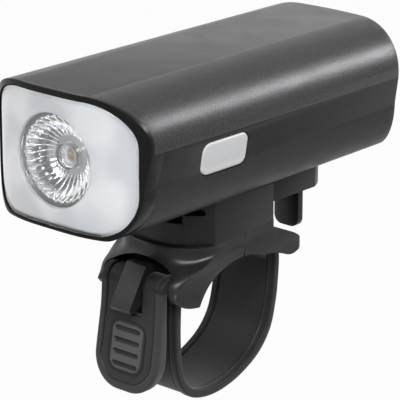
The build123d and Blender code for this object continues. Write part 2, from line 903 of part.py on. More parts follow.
# Power button
def make_button():
    core = low_solid(-button_proud, y_min, y_max) & window(-button_gap, button_back_x, body_half_w + over)
    skirt = low_solid(low_wall + button_gap, y_min, y_max)
    core += skirt & window(button_flange, button_back_x, body_half_w)
    pocket = block(button_back_x - over, plunger_top_x, button_y - button_pocket_half_y,
                   button_y + button_pocket_half_y, button_z - button_pocket_half_z,
                   button_z + button_pocket_half_z)
    return core - pocket


def make_switch_board():
    x0 = switch_board_x
    return block(x0, x0 + switch_board_thick, button_y - switch_board_half_y, button_y + switch_board_half_y,
                 button_z - switch_board_half_z, button_z + switch_board_half_z)


def make_switch():
    can = block(switch_x, switch_x + switch_h, button_y - switch_half, button_y + switch_half,
                button_z - switch_half, button_z + switch_half)
    return can - rod_x(plunger_r + pin_gap, switch_x + pin_gap, switch_x + switch_h + over, button_y, button_z)


def make_plunger():
    x0 = switch_x + button_travel + 2 * pin_gap
    return rod_x(plunger_r, x0, plunger_top_x, button_y, button_z)


def make_status_lights():
    group = []
    for sy in (-1, 1):
        for i in range(2):
            y = button_y + sy * (status_first - i * status_pitch)
            group.append(block(switch_x, switch_x + status_h, y - status_half / 2, y + status_half / 2,
                               button_z - status_half, button_z + status_half))
    return Compound(children=group)


# Foot of the lamp
def foot_screw_places():
    return [(sx * foot_screw_x, y) for sx in (-1, 1) for y in foot_screw_y]


def make_foot():
    rear = foot_side_rear_y
    w = mount_half_w
    outline = Face(Wire([
        Line((-w, foot_shoulder_y), (w, foot_shoulder_y)),
        Line((w, foot_shoulder_y), (w, rear)),
        ThreePointArc((w, rear), (0, rear + foot_tail), (-w, rear)),
        Line((-w, rear), (-w, foot_shoulder_y)),
    ]))
    foot = along_z(outline, foot_low_z, keel_rear_z + over)
    flange_z0 = channel_ledge_z + runner_gap
    flange_z1 = channel_top_z - runner_gap
    foot += block(-runner_flange_half, runner_flange_half, runner_front_y, foot_shoulder_y, flange_z0, flange_z1)
    foot += block(-runner_neck_half, runner_neck_half, runner_front_y, foot_shoulder_y, flange_z1,
                  keel_rear_z + over)
    foot -= low_solid(0, y_min, y_max)
    half = tongue_half + tongue_gap
    foot -= block(-half, half, tongue_front_y + tongue_root, foot_shoulder_y + over, foot_low_z - over,
                  runner_slot_z)
    foot -= block(-half, half, foot_shoulder_y, foot_slot_rear_y, foot_low_z - over, foot_slot_z)
    for x, y in foot_screw_places():
        foot -= rod_z(foot_screw_head_r + pin_gap, foot_low_z - over, foot_screw_seat_z, x, y)
        foot -= rod_z(screw_r + pin_gap, foot_low_z, keel_rear_z + over, x, y)
    for x, y in rivet_places():
        foot -= rod_z(rivet_r, foot_low_z, flange_z1, x, y)
    return foot


def make_foot_screws():
    group = []
    for x, y in foot_screw_places():
        head = rod_z(foot_screw_head_r, foot_screw_seat_z - foot_screw_head_h, foot_screw_seat_z, x, y)
        shank = rod_z(screw_r, foot_screw_seat_z, foot_screw_tip_z, x, y)
        socket = along_z(Pos(x, y) * RegularPolygon(foot_screw_head_r / 2, hex_sides),
                         foot_screw_seat_z - foot_screw_head_h - over, foot_screw_seat_z - foot_screw_head_h / 2)
        group.append(head + shank - socket)
    return Compound(children=group)


# Release tongue
def rivet_places():
    return [(sx * rivet_x, tongue_front_y + tongue_root / 2) for sx in (-1, 1)]


def make_tongue():
    z0 = tongue_z
    z1 = tongue_z + tongue_thick
    y_root = tongue_front_y + tongue_root
    y_end = finger_rear_y
    t = tongue_half
    w = tongue_waist_half
    plate = along_z(flat((-t, tongue_front_y), (t, tongue_front_y), (t, y_root), (w, y_root + over),
                         (w, pocket_front_y - over), (t, pocket_front_y), (t, tongue_rest_y),
                         (finger_half, tongue_rest_y + 2 * over), (finger_half, y_end), (-finger_half, y_end),
                         (-finger_half, tongue_rest_y + 2 * over), (-t, tongue_rest_y), (-t, pocket_front_y),
                         (-w, pocket_front_y - over), (-w, y_root + over), (-t, y_root)), z0, z1)
    ledge = channel_ledge_z + runner_gap
    plate += block(-t, t, tongue_front_y, y_root, z0, ledge)
    gap = tongue_gap
    low = groove_floor_z - tongue_bite
    tooth = along_x(flat((pocket_front_y + gap, z0), (pocket_front_y + gap + tongue_bite / 2, low),
                         (pocket_rear_y - gap, low), (pocket_rear_y - gap, z0)), -tooth_half, tooth_half)
    plate += tooth
    h = z1 - finger_low_z + over
    blade = along_y(Pos(0, finger_low_z + h / 2) * rounded(2 * finger_half, h, finger_corner_r),
                    y_end - finger_thick, y_end)
    plate += blade & block(-t, t, 0, wide_over, finger_low_z - over, z1)
    for x, y in rivet_places():
        plate -= rod_z(rivet_r + pin_gap, z0 - over, z1 + over, x, y)
        plate -= rod_z(rivet_head_r + pin_gap, z0 - over, z0 + rivet_head_h, x, y)
    return plate


def make_rivets():
    z1 = channel_top_z - runner_gap
    return Compound(children=[rod_z(rivet_head_r, tongue_z, tongue_z + rivet_head_h, x, y)
                              + rod_z(rivet_r, tongue_z, z1, x, y) for x, y in rivet_places()])


# Bracket block
def nose_points(half_w, front_y, run, shares):
    left = [(-half_w * share, run * depth - front_y) for share, depth in shares[:0:-1]]
    right = [(half_w * share, run * depth - front_y) for share, depth in shares]
    return left + right


def nose_plan(half_w, front_y, run, shares):
    points = nose_points(half_w, front_y, run, shares)
    w = mount_half_w
    return Face(Wire([
        Spline(*points),
        Line(points[-1], (w, block_rear_y)),
        Line((w, block_rear_y), (-w, block_rear_y)),
        Line((-w, block_rear_y), points[0]),
    ]))


def make_block():
    body = along_z(nose_plan(mount_half_w, nose_y, nose_run, nose_shares), seam_z - over, block_top_z)
    body -= below_seam()
    y0 = -nose_y - over
    y1 = block_rear_y + over
    body -= block(-channel_half, channel_half, y0, y1, channel_ledge_z, channel_top_z)
    body -= block(-mouth_half, mouth_half, y0, y1, channel_ledge_z, block_top_z + over)
    body -= block(-groove_half, groove_half, y0, y1, groove_floor_z, channel_top_z)
    half = tongue_half
    body -= block(-half, half, pocket_front_y, pocket_rear_y, groove_floor_z - pocket_depth, channel_top_z)
    for x, y in base_screw_places():
        body -= rod_z(base_screw_head_r + pin_gap, channel_ledge_z - base_screw_head_h, channel_top_z, x, y)
        body -= rod_z(base_screw_r, seam_z - over, channel_top_z, x, y)
    return body


def base_screw_places():
    return [(sx * base_screw_x, y) for sx in (-1, 1) for y in base_screw_y]


def make_base_screws():
    seat = channel_ledge_z - base_screw_head_h
    group = []
    for x, y in base_screw_places():
        head = rod_z(base_screw_head_r, seat, channel_ledge_z, x, y)
        socket = along_z(Pos(x, y) * RegularPolygon(base_screw_head_r / 2, hex_sides),
                         seat + base_screw_head_h / 2, channel_ledge_z + over)
        group.append(head + rod_z(base_screw_r, seat - base_screw_len, seat, x, y) - socket)
    return Compound(children=group)


# Bracket base
def below_seam():
    """Everything under the sloped parting plane between block and base."""
    far = wide_over
    rise = seam_slope * far
    return along_x(flat((-far, seam_z - rise), (-far, -far), (far, -far), (far, seam_z + rise)), -far, far)


def make_base():
    rows = [Pos(0, 0, z_share * seam_z)
            * nose_plan(half_share * mount_half_w, front_share * toe_y, run_share * nose_run, shares)
            for z_share, half_share, front_share, run_share, shares in base_row_shares]
    body = loft(rows)
    toe_under = [(-y_share * toe_y, z_share * seam_z) for y_share, z_share in toe_under_shares]
    under = Face(Wire([
        Spline(*toe_under),
        Line(toe_under[-1], (toe_under[-1][0], 0)),
        Line((toe_under[-1][0], 0), (-wide_over, 0)),
        Line((-wide_over, 0), (-wide_over, toe_under[0][1])),
        Line((-wide_over, toe_under[0][1]), toe_under[0]),
    ]))
    body -= along_x(under, -wide_over, wide_over)
    body -= block(-wide_over, wide_over, 0, wide_over, 0, wide_over)
    arm_line = [(y_share * arm_end_y, z_share * seam_z) for y_share, z_share in arm_shares]
    side = Face(Wire([
        Line((0, wide_over), (arm_line[0][0], wide_over)),
        Line((arm_line[0][0], wide_over), arm_line[0]),
        Spline(*arm_line),
        Line(arm_line[-1], (0, bar_r / 2)),
        Line((0, bar_r / 2), (0, wide_over)),
    ]))
    arm = along_x(side, -mount_half_w, mount_half_w)
    arm &= along_z(rounded(2 * mount_half_w, 2 * arm_end_y, arm_corner_r), 0, 2 * wide_over)
    body += arm
    body &= below_seam()
    body &= block(-mount_half_w, mount_half_w, -wide_over, wide_over, 0, wide_over)
    body -= rod_x(bar_r, -wide_over, wide_over, 0, 0)
    body -= pad_band(0)
    body -= arch()
    half = arch_half + strap_gap
    body += rod_x(fold_bar_r, -half, half, -fold_bar_y, fold_bar_z)
    body += make_hook()
    w = strap_half_w + strap_gap
    body -= rod_x(eye_r + strap_gap, -w, w, eye_y, eye_z)
    body -= block(-w, w, eye_y - eye_r, loop_route[2][0] + strap_thick / 2 + strap_gap, 0, eye_z)
    body -= rod_x(eye_pin_r, -w - 2 * eye_wall, w + 2 * eye_wall, eye_y, eye_z)
    for x, y in base_screw_places():
        body -= rod_z(base_screw_r, channel_ledge_z - base_screw_head_h - base_screw_len, wide_over, x, y)
    return body


def arch():
    """The round-topped opening in front, where the strap folds over its bar."""
    w = arch_half
    outline = Face(Wire([
        Line((-w, 0), (w, 0)),
        Line((w, 0), (w, arch_side_z)),
        ThreePointArc((w, arch_side_z), (0, arch_top_z), (-w, arch_side_z)),
        Line((-w, arch_side_z), (-w, 0)),
    ]))
    return along_y(outline, -wide_over, -fold_wall_y)


def make_hook():
    outline = [(-fold_bar_y - y_share * hook_reach, fold_bar_z + z_share * hook_h)
               for y_share, z_share in hook_side_shares]
    side = flat(*outline, (-fold_bar_y, fold_bar_z - fold_bar_r))
    low_z = min(z for y, z in outline)
    top_z = fold_bar_z + hook_h
    face = flat((-hook_low_half, low_z), (hook_low_half, low_z), (hook_top_half, top_z), (-hook_top_half, top_z))
    return along_x(side, -hook_low_half, hook_low_half) & along_y(face, -wide_over, 0)


def pad_band(trim):
    """The rubber liner's curved strip, and the seat cut for it."""
    ring = Circle(bar_r + pad_thick) - Circle(bar_r)
    a0 = math.radians(pad_rear_deg)
    a1 = math.radians(pad_front_deg)
    far = 2 * wide_over
    fan = flat((0, 0), (far * math.cos(a0), far * math.sin(a0)), (0, far),
               (far * math.cos(a1), far * math.sin(a1)))
    return along_x(ring & fan, trim - pad_half_w, pad_half_w - trim)


def make_pad():
    pad = pad_band(0)
    for i in range(pad_ribs):
        a = math.radians(pad_rear_deg + (pad_front_deg - pad_rear_deg) * (i + 1) / (pad_ribs + 1))
        y = bar_r * math.cos(a)
        z = bar_r * math.sin(a)
        pad -= Pos(0, y, z) * Rot(math.degrees(a), 0, 0) * Box(2 * pad_half_w - 2 * pad_rib_w,
                                                               2 * pad_rib_depth, pad_rib_w)
    return pad


# Strap: a rimmed band round the bar, over the fold bar, with an eye at its anchored end
def band(half_thick):
    """The band's side outline, at so much to each side of its middle line."""
    def side(offset):
        out = []
        for i, (y, z) in enumerate(loop_route):
            y0, z0 = loop_route[max(i - 1, 0)]
            y1, z1 = loop_route[min(i + 1, len(loop_route) - 1)]
            n = math.hypot(y1 - y0, z1 - z0)
            if i == len(loop_route) - 1:
                y0, z0, y1, z1, n = 0, 0, 0, 1, 1
            out.append((y + offset * (z1 - z0) / n, z - offset * (y1 - y0) / n))
        return out
    inner = side(half_thick)
    outer = side(-half_thick)
    yc = -fold_bar_y
    zc = fold_bar_z
    ri = fold_r - half_thick
    ro = fold_r + half_thick
    return Face(Wire([
        Spline(*inner),
        ThreePointArc((yc + ri, zc), (yc, zc + ri), (yc - ri, zc)),
        Line((yc - ri, zc), (yc - ro, zc)),
        ThreePointArc((yc - ro, zc), (yc, zc + ro), (yc + ro, zc)),
        Spline(*outer[::-1]),
        Line(outer[0], inner[0]),
    ]))


def make_strap():
    w = strap_half_w
    track = strap_half_w - strap_rim
    strap = along_x(band(strap_thick / 2 - strap_recess), -track, track)
    for x0, x1 in ((-w, -track), (track, w)):
        strap += along_x(band(strap_thick / 2), x0, x1)
    strap += rod_x(eye_r, -w, w, eye_y, eye_z)
    strap -= rod_x(eye_pin_r + pin_gap, -w - over, w + over, eye_y, eye_z)
    strap -= block(-hole_half_w, hole_half_w, -wide_over, -hole_rear_y, 0, wide_over)
    return strap


def make_eye_pin():
    w = strap_half_w + strap_gap + 2 * eye_wall
    return rod_x(eye_pin_r, -w, w, eye_y, eye_z)


def tab_outline(inset):
    top = tab_top_half - inset
    low = tab_low_half - inset
    r = tab_corner_r - inset
    z1 = fold_bar_z
    zt = tab_tip_z + inset
    k = r - r / math.sqrt(2)
    return Face(Wire([
        Line((-top, z1), (top, z1)),
        Line((top, z1), (low, tab_wide_z)),
        Line((low, tab_wide_z), (low, zt + r)),
        ThreePointArc((low, zt + r), (low - k, zt + k), (low - r, zt)),
        Line((low - r, zt), (r - low, zt)),
        ThreePointArc((r - low, zt), (k - low, zt + k), (-low, zt + r)),
        Line((-low, zt + r), (-low, tab_wide_z)),
        Line((-low, tab_wide_z), (-top, z1)),
    ]))


def tab_side():
    def edge(y, shares):
        return [(y, fold_bar_z)] + [(y - out * tab_lean, fold_bar_z - down * tab_len) for out, down in shares]
    front = edge(tab_hinge_y, tab_front_shares)
    back = edge(tab_hinge_y + strap_thick, tab_back_shares)
    return Face(Wire([
        Spline(*front),
        Line(front[-1], back[-1]),
        Spline(*back[::-1]),
        Line(back[0], front[0]),
    ]))


def make_tab():
    slab = along_x(tab_side(), -tab_low_half - over, tab_low_half + over)
    tab = slab & along_y(tab_outline(0), -wide_over, 0)
    skin = slab - Pos(0, tab_panel_depth, 0) * slab
    grip_z = (grip_top_z + grip_low_z) / 2
    grip = along_y(Pos(0, grip_z) * rounded(2 * grip_half_w, grip_top_z - grip_low_z, grip_corner_r),
                   -wide_over, 0)
    panel = along_y(tab_outline(tab_rim), -wide_over, 0)
    panel = panel & block(-wide_over, wide_over, -wide_over, 0, tab_tip_z, fold_bar_z - strap_rim)
    tab -= (skin & panel) - grip
    deep = slab - Pos(0, grip_slot_depth, 0) * slab
    pitch = (grip_top_z - grip_low_z) / grip_slots
    for i in range(grip_slots):
        z = grip_top_z - pitch / 2 - i * pitch
        slot = along_y(Pos(0, z) * rounded(2 * grip_slot_half, grip_slot_h, grip_slot_h * end_round_share),
                       -wide_over, 0)
        tab -= slot & deep
    tab -= block(-hole_half_w, hole_half_w, -wide_over, 0, hole_low_z, wide_over)
    return tab


def build_all():
    screws = [shell_screw(sx * post_x, y) for sx in (-1, 1) for y in (post_front_y, post_rear_y)]
    return {
        "upper_shell": make_upper_shell(),
        "lower_shell": make_lower_shell(),
        "shell_screws": Compound(children=screws),
        "front_rim": make_rim(),
        "front_cover": make_cover(),
        "milky_panel": make_milky_panel(),
        "light_tray": make_tray(),
        "beam_lens": make_lens(),
        "lens_cup": make_cup(),
        "beam_led": make_led(),
        "flood_leds": make_flood_leds(),
        "led_board": make_led_board(),
        "heat_spreader": make_spreader(),
        "led_leads": make_led_leads(),
        "battery_cells": make_cells(),
        "cell_cradle": make_cradle(),
        "cell_tabs": make_cell_tabs(),
        "driver_board": make_driver_board(),
        "driver_parts": make_driver_parts(),
        "rear_cap": make_rear_cap(),
        "charge_socket": make_socket(),
        "port_flap": make_flap(),
        "flap_pin": make_flap_pin(),
        "power_button": make_button(),
        "button_plunger": make_plunger(),
        "button_switch": make_switch(),
        "switch_board": make_switch_board(),
        "status_lights": make_status_lights(),
        "lamp_foot": make_foot(),
        "foot_screws": make_foot_screws(),
        "release_tongue": make_tongue(),
        "tongue_rivets": make_rivets(),
        "bracket_block": make_block(),
        "bracket_base": make_base(),
        "bracket_screws": make_base_screws(),
        "saddle_pad": make_pad(),
        "strap": make_strap(),
        "strap_pin": make_eye_pin(),
        "strap_tab": make_tab(),
    }


for name, shape in build_all().items():
    export_step(only(shape), f"parts/{name}.step")
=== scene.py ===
# %% [markdown]
# # Bicycle headlight on an elastic handlebar mount
# The solids come from CAD, already in metres and already in place. This script loads them as a fixed
# frame and dresses them: soft pieces and turned pieces get new meshes, hard ones get rounded edges, and
# every piece gets a material worked out from what the real one is made of. The frame is loaded first,
# because each later step hangs a piece on one of its moving bodies.

# %% Load the frame
import json
import math
import bmesh
import bpy
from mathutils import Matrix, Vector
from mathutils.bvhtree import BVHTree


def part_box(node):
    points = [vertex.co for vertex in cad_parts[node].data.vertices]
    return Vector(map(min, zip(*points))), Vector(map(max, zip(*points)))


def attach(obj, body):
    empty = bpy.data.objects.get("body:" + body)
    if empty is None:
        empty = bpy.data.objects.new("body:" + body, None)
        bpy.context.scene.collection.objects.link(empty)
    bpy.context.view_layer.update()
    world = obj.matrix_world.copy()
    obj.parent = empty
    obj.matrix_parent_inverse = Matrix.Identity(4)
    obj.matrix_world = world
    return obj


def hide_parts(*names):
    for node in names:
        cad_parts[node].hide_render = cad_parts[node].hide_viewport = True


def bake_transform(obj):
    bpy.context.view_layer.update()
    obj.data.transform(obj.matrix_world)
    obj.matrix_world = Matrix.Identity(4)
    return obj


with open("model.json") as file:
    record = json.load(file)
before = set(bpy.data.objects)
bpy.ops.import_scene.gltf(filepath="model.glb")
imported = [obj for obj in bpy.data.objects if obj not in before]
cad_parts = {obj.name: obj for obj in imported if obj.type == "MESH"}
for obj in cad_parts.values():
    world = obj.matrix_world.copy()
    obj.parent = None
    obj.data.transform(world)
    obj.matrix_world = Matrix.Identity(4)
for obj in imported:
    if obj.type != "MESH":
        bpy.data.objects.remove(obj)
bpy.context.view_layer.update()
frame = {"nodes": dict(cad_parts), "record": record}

MM = 0.001
nodes = frame["nodes"]
owner = {node: body for body, names in frame["record"]["behaviour"]["bodies"].items() for node in names}
slot_of = {row["node"]: row["material_slot"] for row in frame["record"]["subparts"]}

# %% [markdown]
# The camera looks down a little from the lamp's front right, as in the picture, with a long lens. A
# long lens from further back keeps parallel edges nearly parallel, which is how small products are
# photographed.

# %% Camera at the photograph's angle
camera_place = (0.4014, -0.4479, 0.2235)
camera_way = (-0.6343, 0.7080, -0.3104)
camera = bpy.data.objects.new("camera", bpy.data.cameras.new("camera"))
bpy.context.collection.objects.link(camera)
camera.location = camera_place
camera.rotation_euler = Vector(camera_way).to_track_quat("-Z", "Y").to_euler()
camera.data.lens = 229.6
camera.data.sensor_width = 36
camera.data.clip_start = 0.01
bpy.context.scene.camera = camera
bpy.context.scene.view_settings.view_transform = "Standard"
print("camera at", camera_place, "with", round(camera.data.lens, 1), "mm")

# %% [markdown]
# A material in Blender is a small graph of nodes, and so is a Geometry Nodes tree. Two helpers keep
# both short. The first turns a painter's hex colour into the linear numbers that shaders work in. The
# second adds one node, sets its settings and wires its inputs. An input may be a number, another
# node's output, or another node, whose first output is then meant.

# %% Colour and node helpers
def linear(code, alpha=1.0):
    """#rrggbb in sRGB as linear red, green, blue, alpha."""
    values = [int(code[i:i + 2], 16) / 255 for i in (1, 3, 5)]
    return tuple(v / 12.92 if v <= 0.04045 else ((v + 0.055) / 1.055) ** 2.4 for v in values) + (alpha,)


def put(tree, kind, inputs=None, **settings):
    """Adds a node; an input is a value, a node or a node's output."""
    made = tree.nodes.new(kind)
    for name, value in settings.items():
        setattr(made, name, value)
    for socket, value in (inputs or {}).items():
        if isinstance(value, bpy.types.Node):
            value = value.outputs[0]
        if isinstance(value, bpy.types.NodeSocket):
            tree.links.new(value, made.inputs[socket])
        else:
            made.inputs[socket].default_value = value
    return made

# %% [markdown]
# Every finish here follows one recipe. A noise, whose size is that of a real pattern such as pits or
# grain, moves the roughness a little, lifts and lowers the surface, and mixes two near tones. Only
# the sizes, depths and colours differ, so one function builds the graph and each finish gives its own.

# %% The recipe for a surface
def make_surface(name, noises, rough, relief=None, base=None, tones=None, blend="LINEAR", **sockets):
    """noises: {label: (size in mm, detail)}, rough: (label, least, most),
    relief: (label, strength, depth in mm), tones: (label, from, to, first colour, second colour)."""
    material = bpy.data.materials.new(name)
    material.use_nodes = True
    tree = material.node_tree
    tree.nodes.clear()
    shader = put(tree, "ShaderNodeBsdfPrincipled", {"Base Color": linear(base or tones[3])})
    for socket, value in sockets.items():
        shader.inputs[socket.replace("_", " ")].default_value = value
    put(tree, "ShaderNodeOutputMaterial", {"Surface": shader})
    where = put(tree, "ShaderNodeTexCoord").outputs["Object"]
    made = {label: put(tree, "ShaderNodeTexNoise",
                       {"Vector": where, "Scale": 1 / (size * MM), "Detail": detail})
            for label, (size, detail) in noises.items()}
    label, least, most = rough
    gloss = put(tree, "ShaderNodeMapRange", {"Value": made[label], "From Min": 0.3, "From Max": 0.7,
                                             "To Min": least, "To Max": most})
    tree.links.new(gloss.outputs[0], shader.inputs["Roughness"])
    if relief:
        label, strength, depth = relief
        bump = put(tree, "ShaderNodeBump",
                   {"Height": made[label], "Strength": strength, "Distance": depth * MM})
        tree.links.new(bump.outputs[0], shader.inputs["Normal"])
    if tones:
        label, start, end, first, second = tones
        share = put(tree, "ShaderNodeMapRange", {"Value": made[label], "From Min": start, "From Max": end},
                    interpolation_type=blend)
        tint = put(tree, "ShaderNodeMix", {0: share, 6: linear(first), 7: linear(second)}, data_type="RGBA")
        tree.links.new(tint.outputs[2], shader.inputs["Base Color"])
    return material

# %% [markdown]
# The upper shell is aluminium, blasted with fine glass beads and then anodised dark grey. Blasting
# leaves pits of about a tenth of a millimetre that spread a highlight into a soft band, and the dyed
# oxide keeps the metal's gloss under a dark colour. The pits are drawn three times coarser than they
# are, because real ones would be lost between two pixels. Two noises do it: the fine one is the
# pits, and the wide one is the dye, which never takes quite evenly.

# %% Bead-blasted anodised aluminium
def make_anodised():
    return make_surface("aluminium_anodised_bead_blasted", {"pits": (0.32, 3.0), "dye": (8.0, 2.0)},
                        rough=("dye", 0.33, 0.39), relief=("pits", 0.8, 0.05),
                        tones=("pits", 0.3, 0.7, "#2e2e2f", "#464647"), Metallic=0.8)

# %% [markdown]
# The lower shell, rim, foot and mount are moulded in black nylon or ABS. The steel mould is
# spark-eroded, which prints a fine even grain on the part: black, but never mirror-like. The same
# recipe serves the other moulded pieces, such as boards and chips, with another colour and grain.
# Specular IOR Level scales how much a plastic mirrors. The black ones get less than the usual 0.5,
# because in a room that is white all round the full share would turn black into grey.

# %% Moulded plastics
usual_mirror = 0.5
black_mirror = 0.22
rim_mirror = 0.15


def make_moulded(name, base, rough, grain_mm, depth_mm, worn, mirror=usual_mirror):
    return make_surface(name, {"grain": (grain_mm, 2.0), "flow": (5.0, 2.0)},
                        rough=("flow", rough - 0.04, rough + 0.05), relief=("grain", 0.3, depth_mm),
                        tones=("flow", 0.35, 0.65, base, worn), IOR=1.5, Specular_IOR_Level=mirror)

# %% [markdown]
# Silicone rubber is soft black with a skin that drags light a little: a pale bloom at grazing angles
# and faint mottling from talc and handling. Sheen gives the bloom without making the rubber glossy,
# and a noise of about a millimetre and a half moves the tone and the gloss from spot to spot. The
# button's silicone is frosted and lets some light in, which is what Subsurface is for.

# %% Rubbers
def make_silicone(name, base, bloom, rough):
    return make_surface(name, {"fine": (0.3, 3.0), "patch": (1.6, 4.0)},
                        rough=("patch", rough - 0.05, rough + 0.07), relief=("fine", 0.3, 0.03),
                        tones=("patch", 0.35, 0.65, base, bloom), IOR=1.41, Sheen_Weight=0.15,
                        Sheen_Roughness=0.5, Specular_IOR_Level=black_mirror)


def make_frosted():
    return make_surface("silicone_translucent_frosted", {"fine": (0.25, 2.0)}, rough=("fine", 0.44, 0.56),
                        relief=("fine", 0.2, 0.02), base="#b9babc", IOR=1.41, Subsurface_Weight=0.35,
                        Subsurface_Radius=(1.0, 1.0, 1.0), Subsurface_Scale=1.2 * MM)

# %% [markdown]
# The window is clear polycarbonate and the lens is optical acrylic, both moulded against polished
# steel. Their look is refraction: the index bends what lies behind. Shrinkage leaves a wave about a
# centimetre long and a few hundredths of a millimetre high, which keeps reflections from looking
# ruled. The panel behind the window is acrylic with a white filler that clouds it unevenly.

# %% Clear and milky plastics
def make_clear(name, ior, wave_mm):
    return make_surface(name, {"wave": (wave_mm, 1.0)},
                        rough=("wave", 0.0, 0.03), relief=("wave", 0.05, 0.02),
                        base="#fafbfc", IOR=ior, Transmission_Weight=1.0)


def make_milky():
    return make_surface("acrylic_milky_diffuser", {"cloud": (13.0, 1.0), "fine": (0.4, 2.0)},
                        rough=("fine", 0.36, 0.46), relief=("fine", 0.08, 0.01),
                        tones=("cloud", 0.35, 0.62, "#d2d4d7", "#ecedee"), blend="SMOOTHSTEP", IOR=1.49,
                        Subsurface_Weight=0.3, Subsurface_Radius=(1.0, 1.0, 1.0), Subsurface_Scale=1.5 * MM)

# %% [markdown]
# Small metal pieces are plated, milled or blackened, and the reflector cup is plastic with a film of
# aluminium, so it is a mirror that a faint orange-peel of a millimetre bends. Handling marks run every
# way, so the roughness of a metal changes from spot to spot.

# %% Metals
def make_metal(name, base, rough, marks_mm, depth_mm):
    return make_surface(name, {"marks": (marks_mm, 4.0)}, rough=("marks", rough * 0.8, rough * 1.25),
                        relief=("marks", 0.15, depth_mm), base=base, Metallic=1.0)

# %% [markdown]
# The record gives each piece a slot that names its material. Here each slot gets its finish, and every
# CAD piece takes the finish of its slot, so nothing inside the lamp is left plain either. For the
# moulded ones the numbers are the roughness, and the grain's size and depth in millimetres.

# %% One material for each of the record's slots
finish = {
    "shell_aluminium": make_anodised(),
    "black_plastic": make_moulded("nylon_glass_filled_spark_grain", "#0d0d0e", 0.4, 0.4, 0.03, "#121213",
                                  black_mirror),
    "bracket_gloss": make_moulded("abs_moulded_satin", "#1c1c1d", 0.33, 0.5, 0.015, "#212122", black_mirror),
    "tongue_plastic": make_moulded("acetal_moulded", "#161617", 0.38, 0.5, 0.02, "#1b1b1c", black_mirror),
    "black_rubber": make_silicone("silicone_rubber_black", "#0f0f10", "#18181a", 0.5),
    "frosted_silicone": make_frosted(),
    "clear_cover": make_clear("polycarbonate_clear_polished", 1.585, 14.0),
    "clear_lens": make_clear("acrylic_optical_polished", 1.49, 9.0),
    "milky_plastic": make_milky(),
    "bright_reflector": make_metal("aluminium_film_on_moulding", "#a8a9ab", 0.12, 1.0, 0.01),
    "led_yellow": make_moulded("phosphor_under_silicone", "#e0b13a", 0.3, 0.2, 0.01, "#e8bd4a"),
    "board_white": make_moulded("solder_mask_white", "#e2e2df", 0.35, 0.5, 0.01, "#eaeae7"),
    "board_green": make_moulded("solder_mask_green", "#1d5a34", 0.35, 0.5, 0.01, "#23633b"),
    "bare_aluminium": make_metal("aluminium_milled", "#cfd0d2", 0.33, 0.6, 0.01),
    "lead_red": make_moulded("silicone_wire_sleeve", "#a02222", 0.45, 0.3, 0.01, "#ac2a2a"),
    "cell_sleeve": make_moulded("pvc_shrink_sleeve", "#2b5d86", 0.3, 1.5, 0.02, "#326792"),
    "nickel": make_metal("nickel_plate", "#c9c5bb", 0.28, 0.4, 0.01),
    "chip_black": make_moulded("epoxy_moulded", "#1c1c1d", 0.5, 0.2, 0.01, "#222223"),
    "dark_steel": make_metal("steel_black_oxide", "#3a3a3c", 0.36, 0.3, 0.01),
}
for node, thing in nodes.items():
    thing.data.materials.clear()
    thing.data.materials.append(finish[slot_of[node]])
print(len(finish), "materials")

# %% [markdown]
# Every new mesh is made the same way at its end: doubles are merged, faces turned outwards, and the
# object is put in place of its CAD piece, with that piece's finish and moving body.

# %% Helpers for new meshes
def piece(name, points, faces):
    """A closed mesh from points in millimetres, its faces turned outwards."""
    mesh = bpy.data.meshes.new(name)
    mesh.from_pydata([(x * MM, y * MM, z * MM) for x, y, z in points], [], faces)
    thing = bpy.data.objects.new(name, mesh)
    bpy.context.collection.objects.link(thing)
    return turn_out(thing)


def turn_out(thing):
    made = bmesh.new()
    made.from_mesh(thing.data)
    bmesh.ops.remove_doubles(made, verts=made.verts, dist=0.001 * MM)
    bmesh.ops.recalc_face_normals(made, faces=made.faces)
    made.to_mesh(thing.data)
    made.free()
    return thing


def smooth_shade(thing, sharp_deg=40):
    thing.data.shade_smooth()
    thing.data.set_sharp_from_angle(angle=math.radians(sharp_deg))
    return thing


def dress_for(thing, node):
    """The new piece takes the finish of the CAD piece's slot, and the CAD piece is hidden."""
    thing.data.materials.clear()
    thing.data.materials.append(finish[slot_of[node]])
    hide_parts(node)
    print(thing.name, len(thing.data.polygons), "faces on", owner[node])
    return thing


def stand_for(thing, node):
    """It also rides on the CAD piece's moving body."""
    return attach(dress_for(thing, node), owner[node])


def bake(thing):
    """The modifiers' result becomes the mesh."""
    bpy.context.view_layer.update()
    seen = thing.evaluated_get(bpy.context.evaluated_depsgraph_get())
    mesh = bpy.data.meshes.new_from_object(seen)
    thing.modifiers.clear()
    thing.data = mesh
    return thing

# %% [markdown]
# CAD faces meet in razor edges, but a moulded or machined edge always has a small radius, and that
# radius is what catches the light. A copy of the CAD mesh is merged, its flat areas are joined up, and
# a Bevel modifier rounds what is left sharp. The width follows the process: about a third of a
# millimetre on the shells and blocks, and less where the mould edge is crisp.

# %% Rounded edges for the hard pieces
def plain_copy(node):
    mesh = nodes[node].data.copy()
    made = bmesh.new()
    made.from_mesh(mesh)
    bmesh.ops.remove_doubles(made, verts=made.verts, dist=0.002 * MM)
    bmesh.ops.dissolve_limit(made, angle_limit=math.radians(1.0), verts=made.verts, edges=made.edges)
    made.to_mesh(mesh)
    made.free()
    copy = bpy.data.objects.new(node + "_dressed", mesh)
    bpy.context.collection.objects.link(copy)
    return copy


def soften(thing, width_mm, steps=2, angle=32):
    rounding = thing.modifiers.new("edge", "BEVEL")
    rounding.width = width_mm * MM
    rounding.segments = steps
    rounding.limit_method = "ANGLE"
    rounding.angle_limit = math.radians(angle)
    rounding.use_clamp_overlap = True
    return smooth_shade(bake(thing))


edge_mm = {"upper_shell": 0.35, "lower_shell": 0.3, "front_rim": 0.25, "lamp_foot": 0.35,
           "bracket_block": 0.35, "rear_cap": 0.2}
dressed = {node: stand_for(soften(plain_copy(node), width), node) for node, width in edge_mm.items()}
